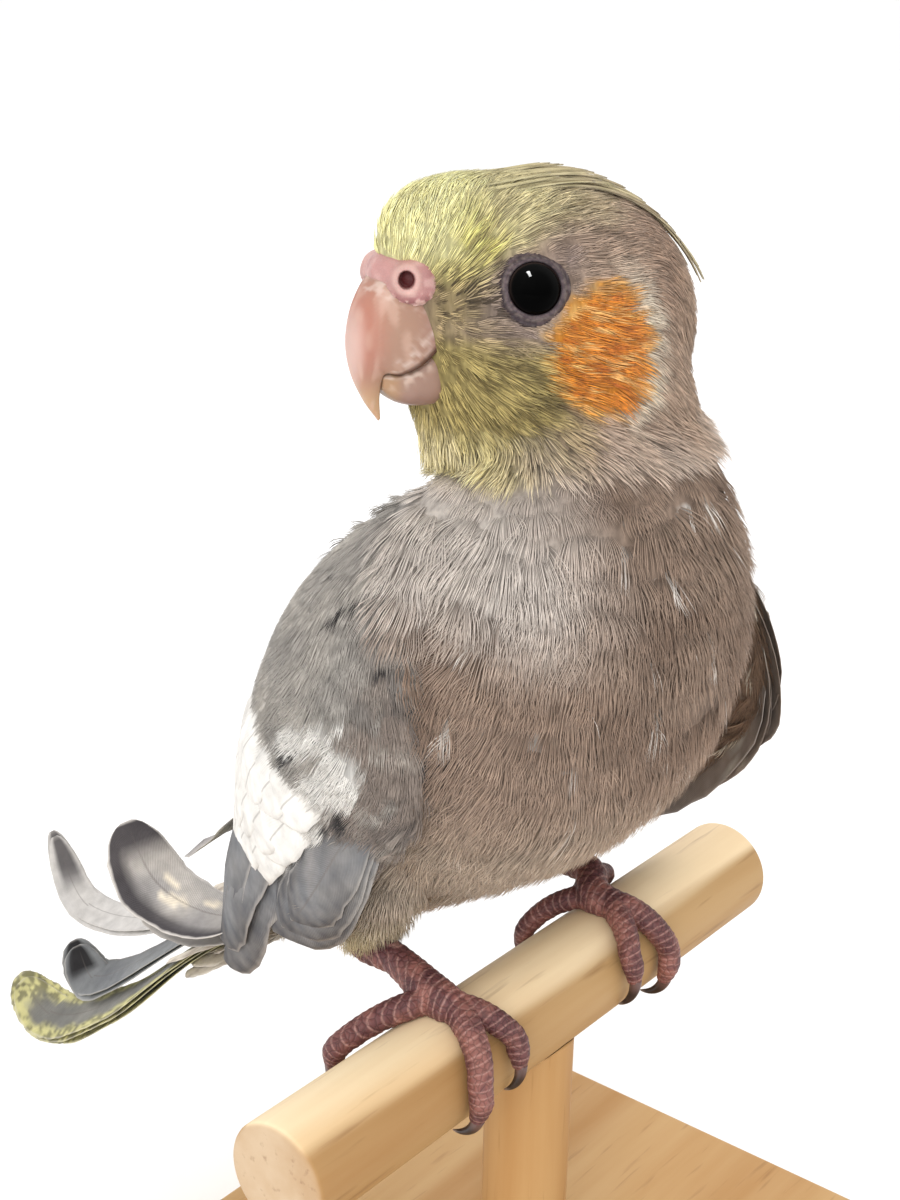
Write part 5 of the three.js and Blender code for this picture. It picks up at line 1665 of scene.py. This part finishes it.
def cere_piece(material):
    """The bare swelling over the bill, with a nostril on each side."""
    parts = [
        ball(HEAD.point(20, 3.1, 6.8), (3.3, 3.3, 2.9)),
        ball(HEAD.point(20, -3.1, 6.8), (3.3, 3.3, 2.9)),
        ball(HEAD.point(20.6, 0, 7.3), (3.4, 4.3, 2.9)),
    ]
    points, normals, triangles = remeshed(parts, CERE_GRAIN, 8)
    f, _, u = HEAD.local(points).T
    tint = np.broadcast_to(colour(176, 132, 128), points.shape)
    low = smoothstep(6.8, 4.2, u)
    tint = blend(tint, colour(138, 84, 92), 0.75 * np.maximum(low, 0.6 * smoothstep(21.5, 18.5, f)))
    dark = np.zeros(len(points))
    ring = np.zeros(len(points))
    for side in SIDES:
        hole = HEAD.point(22.0, side * 5.2, 7.4)
        way = unit(HEAD.direction(0.55, side, 0.18))
        offset = points - hole
        flat = offset - (offset @ way)[:, None] * way
        across = np.linalg.norm(flat * [1, 1, 0.92], axis=1)
        near = (offset @ way > -2.5) & (offset @ way < 3)
        pit = np.where(near, smoothstep(1.02, 0.8, across), 0)
        rim = np.where(near, np.exp(-((across - 1.35) / 0.38) ** 2), 0)
        points = points - way * (1.6 * pit)[:, None] + normals * (0.14 * rim)[:, None]
        dark = np.maximum(dark, pit)
        ring = np.maximum(ring, rim)
    flakes = low * smoothstep(0.5, 0.66, noise(points, 0.55, 52))
    points = points + normals * (0.16 * flakes + 0.22 * (noise(points, 1.3, 50) - 0.5))[:, None]
    tint = blend(tint, colour(202, 166, 160), 0.6 * smoothstep(0.45, 0.8, noise(points, 1.2, 51)))
    tint = blend(tint, colour(214, 182, 172), np.maximum(0.5 * ring, 0.8 * flakes))
    # Dark red in the nostril pits: partly their flesh, partly painted shade of the openings' depth
    tint = blend(tint, colour(84, 22, 24), dark)
    whole_piece("cere_skin_fold", points, triangles, tint, material, ("cere",))


def eye_place(side):
    """An eyeball's middle, and the way that it faces."""
    spot, out = face_spot(EYE_FORWARD, EYE_UP, side)
    return spot - out * EYE_RADIUS * EYE_SINK, out


def eye_frame(out):
    across = unit(np.cross(UP, out))
    return across, unit(np.cross(out, across))


def eye_piece(side, material):
    middle, out = eye_place(side)
    across, over = eye_frame(out)
    ring = sphere_directions(40, 64) @ np.array([across, over, out])
    bulge = 1 + 0.05 * smoothstep(0.75, 1.0, ring @ out)
    points, triangles = closed_rings(middle + ring * EYE_RADIUS * bulge[..., None])
    facing = unit(points - middle) @ out
    iris = smoothstep(0.66, 0.58, facing) * smoothstep(0.4, 0.5, facing)
    tint = blend(colour(1, 1, 1), colour(12, 8, 7), iris)
    whole_piece(f"eyeball_{SIDES[side]}", points, triangles, tint, material, (f"eye_{SIDES[side]}",))


def torus_triangles(around, count):
    """Triangles over a ring of closed outlines of count points each."""
    i = np.arange(around)[:, None]
    j = np.arange(count)[None, :]
    a = i * count + j
    b = i * count + (j + 1) % count
    c = (i + 1) % around * count + j
    d = (i + 1) % around * count + (j + 1) % count
    return np.stack([a, c, d, a, d, b], -1).reshape(-1, 3)


def lid_piece(side, material):
    """Bare skin round the eye in fine uneven folds, with a dark rim and a broken dark line outside it."""
    middle, out = eye_place(side)
    across, over = eye_frame(out)
    around = 220
    angle = 2 * np.pi * np.arange(around) / around
    radial = np.cos(angle)[:, None] * across + np.sin(angle)[:, None] * over
    profile = np.concatenate([catmull(np.array(LID_PROFILE), np.linspace(0, 1, 26)), LID_INSIDE])
    uneven = 0.04 * np.sin(3 * angle + 0.8) + 0.05 * np.maximum(np.cos(angle - 2.6), 0)
    reach = profile[None, :, 0] * (1 + uneven[:, None] * smoothstep(3.2, 4.2, profile[None, :, 0]))
    spread = np.stack([np.cos(angle)[:, None] * reach, np.sin(angle)[:, None] * reach, 0 * reach], -1)
    rough = noise(spread + 20, 0.34, 63) - 0.5
    folds = np.sin(10 * reach + 4 * noise(spread + 9, 1.2, 64))
    height = profile[None, :, 1] + (0.13 * rough + 0.07 * folds) * smoothstep(3.05, 3.4, reach)
    points = middle + out * height[..., None] + radial[:, None, :] * reach[..., None]
    tint = blend(colour(96, 84, 82), colour(62, 52, 54), smoothstep(0.3, 0.75, 0.5 + rough))
    tint = blend(tint, colour(84, 68, 76), 0.5 * smoothstep(0.2, -0.8, folds))
    broken = smoothstep(0.42, 0.6, noise(points, 1.3, 62))
    outer = np.exp(-(((reach - 4.0) / 0.2) ** 2)) * broken
    inner = smoothstep(3.3, 3.12, reach)
    tint = blend(tint, colour(44, 34, 40), np.maximum(0.7 * outer, 0.95 * inner))
    flat = points.reshape(-1, 3)
    triangles = turned_out(flat, torus_triangles(around, len(profile)))
    whole_piece(f"lids_{SIDES[side]}", flat, triangles, tint, material)


def on_dowel(x, degrees, radius):
    a = np.radians(degrees)
    return np.stack(np.broadcast_arrays(x, -radius * np.sin(a), PERCH_HEIGHT + radius * np.cos(a)), -1)


def toe_line(side, toe):
    _, x, start, end, thick = toe
    t = np.linspace(0, 1, 7)
    angle = start + (end - start) * t
    rise = TOE_RISE + 0.5 * np.sin(np.pi * t)
    radius = TOE_RADIUS * thick * (1.12 - 0.3 * t) * np.where(t == 1, 0.66, 1)
    return on_dowel(FOOT_PLACE[side] + side * x * np.minimum(t * 1.5, 1), angle, rise), radius


def shank_line(side):
    upper = BODY.point([-13.8, -11.5, -7], side * np.array([19.2, 19.2, 18.9]), [11.2, 10.9, 10.8])
    lower = on_dowel(FOOT_PLACE[side], np.array([-10, 12]), np.array([TOE_RISE + 0.4, TOE_RISE]))
    return np.concatenate([upper, lower]), [2.5, 2.3, 2.1, 2.6, 2.2]


def scuted_tube(line, radii, rows, around, pitch):
    """A toe: plates across its top every pitch mm, and pads beneath."""
    rings = tube_rings(line, radii, rows, around)
    middle = rings.mean(1, keepdims=True)
    spoke = rings - middle
    length = np.concatenate([[0], np.cumsum(np.linalg.norm(np.diff(middle[:, 0], axis=0), axis=1))])
    saw = (length / pitch) % 1
    ridge = 0.09 * (1 - saw) - 0.10 * np.exp(-((saw - 0.02) / 0.09) ** 2)
    down = unit(spoke) @ UP
    pads = 0.10 * np.abs(np.sin(np.pi * length / (2.6 * pitch)))
    swell = 1 + ridge[:, None] * smoothstep(-0.4, 0.4, np.abs(down)) + pads[:, None] * 0.6 * (down < 0)
    return middle + spoke * swell[..., None]


def foot_piece(side, material):
    """A shank and four scaly toes, joined into one skin that stays clear of the dowel."""
    parts = [closed_rings(scuted_tube(*shank_line(side), 90, 32, 1.2))]
    parts += [closed_rings(scuted_tube(*toe_line(side, toe), 110, 32, 1.0)) for toe in TOES]
    points, _, triangles = remeshed(parts, FOOT_GRAIN, 1)
    clear = DOWEL_RADIUS + 0.12
    radial = np.hypot(points[:, 1], points[:, 2] - PERCH_HEIGHT)
    too_near = (radial < clear) & (np.abs(points[:, 0]) < DOWEL_LENGTH / 2)
    push = np.where(too_near, clear / np.maximum(radial, 0.1), 1)
    points[:, 1] *= push
    points[:, 2] = PERCH_HEIGHT + (points[:, 2] - PERCH_HEIGHT) * push
    tint = blend(colour(140, 92, 84), colour(100, 62, 62), smoothstep(0.3, 0.7, noise(points, 2.4, 71)))
    tint = blend(tint, colour(80, 44, 48), 0.5 * smoothstep(0.55, 0.75, noise(points, 1.3, 73)))
    arc = np.arctan2(points[:, 1], points[:, 2] - PERCH_HEIGHT) * (DOWEL_RADIUS + 2)
    along = np.where(points[:, 2] > PERCH_HEIGHT + DOWEL_RADIUS + 5, points[:, 2], arc)
    seam = np.abs((along / 0.95 + 0.3 * (noise(points, 1.5, 74) - 0.5)) % 1 - 0.5) * 2
    tint = blend(tint, colour(186, 144, 134), 0.55 * smoothstep(0.72, 0.95, seam))
    name = SIDES[side]
    whole_piece(f"foot_skin_{name}", points, triangles, tint, material, (f"foot_{name}",))


def claw_piece(side, toe, material):
    """A curved claw with a pale tip, from inside its toe down round the dowel."""
    line, _ = toe_line(side, toe)
    end, before = line[-1], line[-2]
    along = unit(end - before)
    inward = unit(np.array([end[0], 0, PERCH_HEIGHT]) - end)
    sweep_all = math.radians(66)
    reach = CLAW_LENGTH + CLAW_ROOT
    t = np.linspace(0, 1, 26)
    sweep = sweep_all * t
    step = reach * np.sin(sweep) / sweep_all - 0.35
    dip = reach * (1 - np.cos(sweep)) / sweep_all
    middle = end + along * step[:, None] + inward * (dip - 0.2)[:, None]
    heading = along * np.cos(sweep)[:, None] + inward * np.sin(sweep)[:, None]
    over = -inward * np.cos(sweep)[:, None] + along * np.sin(sweep)[:, None]
    across = unit(np.cross(heading, over))
    radius = 0.9 * (1 - t) ** 0.75 + 0.08
    points, triangles = closed_rings(ellipse(middle, across, over, radius * 0.8, radius, 20))
    share = np.clip(np.linalg.norm(points - middle[0], axis=1) / reach, 0, 1)
    tint = blend(colour(104, 78, 74), colour(44, 34, 34), smoothstep(0.1, 0.4, share))
    tint = blend(tint, colour(176, 156, 142), 0.8 * smoothstep(0.72, 0.98, share))
    name = f"{SIDES[side]}_{toe[0]}"
    whole_piece(f"horn_{name}", points, triangles, tint, material, (f"claw_{name}",))


def lathe(profile, middle, axis):
    """A turned body: rows of (along, radius) about an axis."""
    along, radius = np.array(profile).T
    side = unit(np.cross(axis, [0.3, 0.5, 0.8]))
    centres = np.asarray(middle) + along[:, None] * axis
    wide, deep = (np.broadcast_to(v, centres.shape) for v in (side, np.cross(axis, side)))
    return ellipse(centres, wide, deep, radius, radius, 96)


def edge_profile(half, radius, chamfer):
    """A rod's rows from end to end with rounded edges, closed at its ends by small rings."""
    ends = [(-half, r) for r in np.linspace(0.5, radius - chamfer, 8)[:-1]]
    rounded = [
        (-half + chamfer * (1 - math.sin(a)), radius - chamfer + chamfer * math.cos(a))
        for a in np.linspace(0, np.pi / 2, 7)[::-1]
    ]
    body = [(x, radius) for x in np.linspace(-half + chamfer, half - chamfer, 60)[1:-1]]
    head = ends + rounded
    return head + body + [(-x, r) for x, r in reversed(head)]


def perch_piece(material):
    """The dowel, faintly uneven, with a painted highlight along its top over painted shade on its sides, and
    darker ends.
    """
    profile = edge_profile(DOWEL_LENGTH / 2, DOWEL_RADIUS, DOWEL_CHAMFER)
    points, triangles = closed_rings(lathe(profile, (0, 0, PERCH_HEIGHT), np.array([1.0, 0, 0])))
    away = points - [0, 0, PERCH_HEIGHT]
    points = points + away * [0, 1, 1] * (0.006 * (noise(points * [0.15, 1, 1], 5, 81) - 0.5))[:, None]
    uneven = 0.15 * (noise(points * [0.06, 1, 1], 1.5, 82) - 0.5)
    # Painted light: paler where the dowel faces up, with painted shade on its sides
    tint = blend(WOOD_TONE_AND_SHADE, WOOD_PAINTED_LIGHT, smoothstep(0.6, 0.85, away[:, 2] / DOWEL_RADIUS + uneven))
    end = smoothstep(DOWEL_LENGTH / 2 - 0.5, DOWEL_LENGTH / 2, np.abs(points[:, 0]))
    tint = blend(tint, WOOD_END, end)
    whole_piece("dowel", points, triangles, tint, material, ("perch",))


def post_piece(material):
    """The post, cut to the dowel's round at its top."""
    top = PERCH_HEIGHT - DOWEL_RADIUS * 0.55
    low = BASE_THICKNESS + 0.1
    seat = DOWEL_RADIUS + 0.1
    rings = lathe(edge_profile((top - low) / 2, POST_RADIUS, 0.25), (0, 0, (top + low) / 2), UP)
    points, triangles = closed_rings(rings)
    inside_seat = np.hypot(points[:, 1], points[:, 2] - PERCH_HEIGHT) < seat
    reach = np.sqrt(np.maximum(seat ** 2 - points[:, 1] ** 2, 0))
    points[:, 2] = np.where(inside_seat, np.minimum(points[:, 2], PERCH_HEIGHT - reach), points[:, 2])
    tint = np.broadcast_to(WOOD_TONE_AND_SHADE * 1.2, points.shape)
    whole_piece("post", points, triangles, tint, material, ("stand_post",))


def rounded_outline(half_x, half_y, corner, z):
    """A rectangle with rounded corners, as points at one height."""
    x, y = half_x - corner, half_y - corner
    arcs = []
    for cx, cy, start in ((x, y, 0), (-x, y, 90), (-x, -y, 180), (x, -y, 270)):
        angles = [math.radians(a) for a in np.linspace(start, start + 90, 8)]
        arcs.append([(cx + corner * math.cos(a), cy + corner * math.sin(a), z) for a in angles])
    outline = []
    for arc, following in zip(arcs, arcs[1:] + arcs[:1]):
        first, last = np.array(arc[-1]), np.array(following[0])
        outline += arc
        outline += [tuple(first + (last - first) * w) for w in np.linspace(0, 1, 14)[1:-1]]
    return np.array(outline)


def base_piece(material):
    """The flat base, with rounded edges and corners."""
    edge, corner = 1.0, 1.5
    half_x, half_y = BASE_LENGTH / 2, BASE_WIDTH / 2
    profile = [(edge, 0.0)]
    for a in np.linspace(0, np.pi / 2, 6):
        profile.append((edge * (1 - math.sin(a)) * 0.6, edge * (1 - math.cos(a)) * 0.6))
    profile += [(0.0, z) for z in np.linspace(1.2, BASE_THICKNESS - edge, 6)]
    for a in np.linspace(0.2, np.pi / 2, 6):
        profile.append((edge * (1 - math.cos(a)), BASE_THICKNESS - edge + edge * math.sin(a)))
    rows = [rounded_outline(half_x - inset, half_y - inset, corner, z) for inset, z in profile]
    for share in (0.8, 0.5, 0.2):
        rows.append(rounded_outline((half_x - edge) * share, (half_y - edge) * share, corner, BASE_THICKNESS))
    points, triangles = closed_rings(rows)
    tint = np.broadcast_to(WOOD_TONE_AND_SHADE * 1.2, points.shape)
    whole_piece("base", points, triangles, tint, material, ("stand_base",))


def eye_bare(points):
    """Where the bare skin round an eye lies."""
    near = np.zeros(points.shape[:-1], bool)
    for side in SIDES:
        middle, out = eye_place(side)
        offset = points - middle
        along = offset @ out
        flat = np.linalg.norm(offset - along[..., None] * out, axis=-1)
        near |= (flat < EYE_BARE) & (along > 0)
    return near


def bill_bare(points):
    f, l, u = np.moveaxis(HEAD.local(points), -1, 0)
    upper = (f > 17.2) & (np.abs(l) < 5.0) & (u < 8.0) & (u > -8.4)
    bulbs = (np.linalg.norm(np.stack([f - 20.6, l * 0.75, u - 6.8], -1), axis=-1) < 2.8) & (f > 17)
    return upper | bulbs


def near_bill(points):
    """0 beside the bill and the eyes, 1 where the head's feathers have their full length."""
    local = HEAD.local(points)
    far = smoothstep(5.5, 13, np.linalg.norm(local - [21, 0, 1], axis=-1))
    for side in SIDES:
        far = np.minimum(far, smoothstep(4.0, 8, np.linalg.norm(points - eye_place(side)[0], axis=-1)))
    return far


def collar(points):
    """1 on the lower rim of the head, where its feathers stand over the neck."""
    height = tilted_height(BODY.local(points))
    return smoothstep(78.5, 80.5, height) * smoothstep(87, 83.5, height)


def under_collar(points):
    """0 on the neck beneath the head's fringe, 1 below it."""
    return smoothstep(80, 73, tilted_height(BODY.local(points)))


def ankle(points):
    """0 at the ankles, 1 over the rest of the body."""
    local = BODY.local(points)
    leg = (np.abs(local[..., 1]) > 11) & (local[..., 0] > -24)
    return np.where(leg, smoothstep(8, 22, local[..., 2]), 1)


def head_plume_length(points):
    crown = 1 + 0.4 * smoothstep(6, 14, HEAD.local(points)[..., 2])
    return (1.9 + 3.2 * near_bill(points)) * crown + 0.6 * collar(points)


def plumes():
    """The kinds of small feathers: on the head, the breast and body, and the folded wings.

    Spacing, length, width, depth, base and spread are in mm. Length, width and depth go by where the roots
    are. Row is how far apart uneven rows lie, or 0.
    """
    return {
        "head": SimpleNamespace(
            spacing=1.22, barbs=9, row=0.0,
            length=head_plume_length,
            width=lambda p: 0.155 + 0.035 * near_bill(p),
            depth=lambda p: 0.3 + 0.42 * near_bill(p) + 1.5 * collar(p),
            base=0.5, spread=0.35, lie=coat_lie, paint=plumage,
            twist=0.12, ragged=0.35, contrast=0.65, root_tone=0.62,
        ),
        "breast": SimpleNamespace(
            spacing=2.75, barbs=23, row=3.0,
            length=lambda p: 2.6 + 4.8 * ankle(p) * (0.35 + 0.65 * under_collar(p)),
            width=lambda p: 0.13 + 0.04 * ankle(p),
            depth=lambda p: 0.4 + 1.6 * ankle(p) * under_collar(p),
            base=0.9, spread=2.1, lie=coat_lie, paint=plumage,
            twist=0.2, ragged=0.14, contrast=0.24, root_tone=0.5,
        ),
        "wing": SimpleNamespace(
            spacing=2.2, barbs=24, row=0.0,
            length=lambda p: np.full(len(p), 5.6),
            width=lambda p: np.full(len(p), 0.16),
            depth=lambda p: np.full(len(p), 0.6),
            base=1.0, spread=1.4, lie=wing_lie_way, paint=wing_paint,
            twist=0.08, ragged=0.1, contrast=0.12, root_tone=0.8,
        ),
    }


def wing_edge_at(u):
    """How far forward the wing's own soft feathers reach, before the breast's lie over them."""
    return np.interp(u, WING_EDGE[0], WING_EDGE[1])


def make_coat(skin, material):
    """The coat in ten pieces: the left and right of the face, nape, breast, belly and wings."""
    body, head = BODY.local(skin.middles), HEAD.local(skin.middles)
    u, v, far = skin.wing_u, skin.wing_v, skin.wing_far
    on_head = tilted_height(body) > 80.5
    on_wing = (far < WING_NEAR) & ~on_head
    own = v < wing_edge_at(u)
    reach = np.where(skin.wing_side > 0, 0.67, np.where(v > 0.5, 0.66, 0.56))
    wing_coat = on_wing & own & (u < reach)
    hidden = (far < 11) & (u > 0.05) & (v > -0.97) & (v < np.where(far < 4, 0.93, 0.7))
    hidden &= ~(on_wing & ~own)
    bare = bill_bare(skin.middles) | eye_bare(skin.middles) | (body[:, 0] < -46)
    on_body = ~on_head & ~wing_coat & ~hidden & ~bare
    on_head &= ~bare
    front = head[:, 0] > 1
    low = body[:, 2] < 33
    areas = (
        ("face", on_head & front, head[:, 1] > 0, "head"),
        ("nape", on_head & ~front, head[:, 1] > 0, "head"),
        ("breast", on_body & ~low, body[:, 1] > 0, "breast"),
        ("belly", on_body & low, body[:, 1] > 0, "breast"),
        ("wing", wing_coat, skin.wing_side > 0, "wing"),
    )
    kinds = plumes()
    seed = 100
    for area, place, left, kind in areas:
        for side, half in (("left", left), ("right", ~left)):
            keep = place & half
            coat_piece(f"coat_{area}_{side}", skin, material, keep, kinds[kind], seed)
            seed += 7


def skin_piece(skin, material):
    _, u, v, far = nearest_wing(skin.points)
    height = tilted_height(BODY.local(skin.points))
    on_wing = (far < WING_NEAR) & (v < wing_edge_at(u)) & (height < 77)
    tint = np.where(on_wing[:, None], wing_paint(skin.points), plumage(skin.points, 0.0))
    replaced = ("head", "neck", "torso", "thigh_left", "thigh_right")
    # The skin is painted darker than the plumage: painted shade beneath the coat
    whole_piece("skin", skin.points, skin.triangles, tint * 0.72, material, replaced)


def make_camera():
    azimuth, dip, roll = (math.radians(a) for a in (CAMERA_AZIMUTH, CAMERA_DIP, CAMERA_ROLL))
    ahead = Vector((math.sin(azimuth) * math.cos(dip), math.cos(azimuth) * math.cos(dip), -math.sin(dip)))
    right = Vector((math.cos(azimuth), -math.sin(azimuth), 0))
    over = right.cross(ahead)
    tilted = right * math.cos(roll) + over * math.sin(roll)
    high = over * math.cos(roll) - right * math.sin(roll)
    camera = linked("camera", bpy.data.cameras.new("camera"))
    turn = Matrix((tilted, high, -ahead)).transposed().to_4x4()
    camera.matrix_world = Matrix.Translation(CAMERA_PLACE) @ turn
    camera.data.sensor_fit = "VERTICAL"
    camera.data.sensor_height = 36
    camera.data.lens = CAMERA_LENS
    camera.data.clip_start = 0.01
    bpy.context.scene.camera = camera


def area_light(name, place, aim, size, power, tone):
    light = bpy.data.lights.new(name, "AREA")
    light.size = size
    light.energy = power
    light.color = tone
    lamp = linked(name, light)
    way = Vector(aim) - Vector(place)
    lamp.matrix_world = Matrix.Translation(place) @ way.to_track_quat("-Z", "Y").to_matrix().to_4x4()
    return lamp


def eyeballs(name):
    """A collection of both eyeballs, to say what a lamp lights."""
    both = bpy.data.collections.new(name)
    for side in SIDES.values():
        both.objects.link(bpy.data.objects[f"eyeball_{side}"])
    return both


def make_glint():
    """A small lamp that lights only the eyes, placed so that its reflection shows towards the camera."""
    middle, out = eye_place(1)
    across, over = eye_frame(out)
    normal = across * GLINT[0] + over * GLINT[1]
    normal = unit(normal + out * math.sqrt(1 - normal @ normal))
    spot = middle + normal * EYE_RADIUS
    view = unit(np.array(CAMERA_PLACE) / MM - spot)
    place = spot + (2 * (normal @ view) * normal - view) * 400
    lamp = area_light("glint", tuple(place * MM), tuple(spot * MM), 0.22, 20.0, (1, 1, 1))
    lamp.data.shape = "RECTANGLE"
    lamp.data.size_y = 0.07
    lamp.light_linking.receiver_collection = eyeballs("lit_by_glint")


def make_lights():
    """Soft light from the left, a rim light from behind and an even sky. The key leaves the eyes out."""
    world = bpy.data.worlds.new("studio")
    bpy.context.scene.world = world
    world.use_nodes = True
    background = world.node_tree.nodes["Background"]
    background.inputs["Color"].default_value = (1.0, 0.99, 0.98, 1)
    background.inputs["Strength"].default_value = 1.06
    aim = (-0.01, -0.01, 0.12)
    key = area_light("key", (-0.72, -0.34, 0.62), aim, 0.5, 4.0, (1.0, 0.985, 0.96))
    area_light("rim", (0.5, 0.7, 0.7), aim, 0.8, 3.0, (0.97, 0.98, 1.0))
    make_glint()
    spared = eyeballs("lit_by_key")
    for entry in spared.collection_objects:
        entry.light_linking.link_state = "EXCLUDE"
    key.light_linking.receiver_collection = spared


def make_floor():
    size = 12.0
    mesh = bpy.data.meshes.new("floor")
    corners = [(-size, -size, 0), (size, -size, 0), (size, size, 0), (-size, size, 0)]
    mesh.from_pydata(corners, [], [(0, 1, 2, 3)])
    n = Nodes("floor_paper", 0.9, 0.1)
    n.colour(n.mix(colour(253, 253, 253), colour(249, 249, 249), n.noise(60, 3.0)))
    mesh.materials.append(n.material)
    linked("floor", mesh)


def main():
    bpy.context.scene.view_settings.view_transform = "Standard"
    make_camera()
    make_floor()
    vane = vane_material()
    skin = Skin()
    skin_piece(skin, skin_material())
    make_coat(skin, coat_material())
    for side in SIDES:
        wing_piece(side, vane)
    tail_piece(vane)
    crest_piece(vane)
    horn = bill_material()
    upper_bill(horn)
    lower_bill(horn)
    cere_piece(soft_skin_material("cere", 2600, 0.02, 0.06))
    lids = soft_skin_material("lids", 2200, 0.05, 0.2)
    foot = soft_skin_material("foot", 1100, 0.14, 0.4)
    eye = eye_material()
    claw = claw_material()
    for side in SIDES:
        eye_piece(side, eye)
        lid_piece(side, lids)
        foot_piece(side, foot)
        for toe in TOES:
            claw_piece(side, toe, claw)
    perch_piece(wood_material("pine_dowel", (0.08, 1.0, 1.0)))
    post_piece(wood_material("pine_post", (1.0, 1.0, 0.08)))
    base_piece(wood_material("pine_base", (0.08, 1.0, 1.0)))
    make_lights()


main()
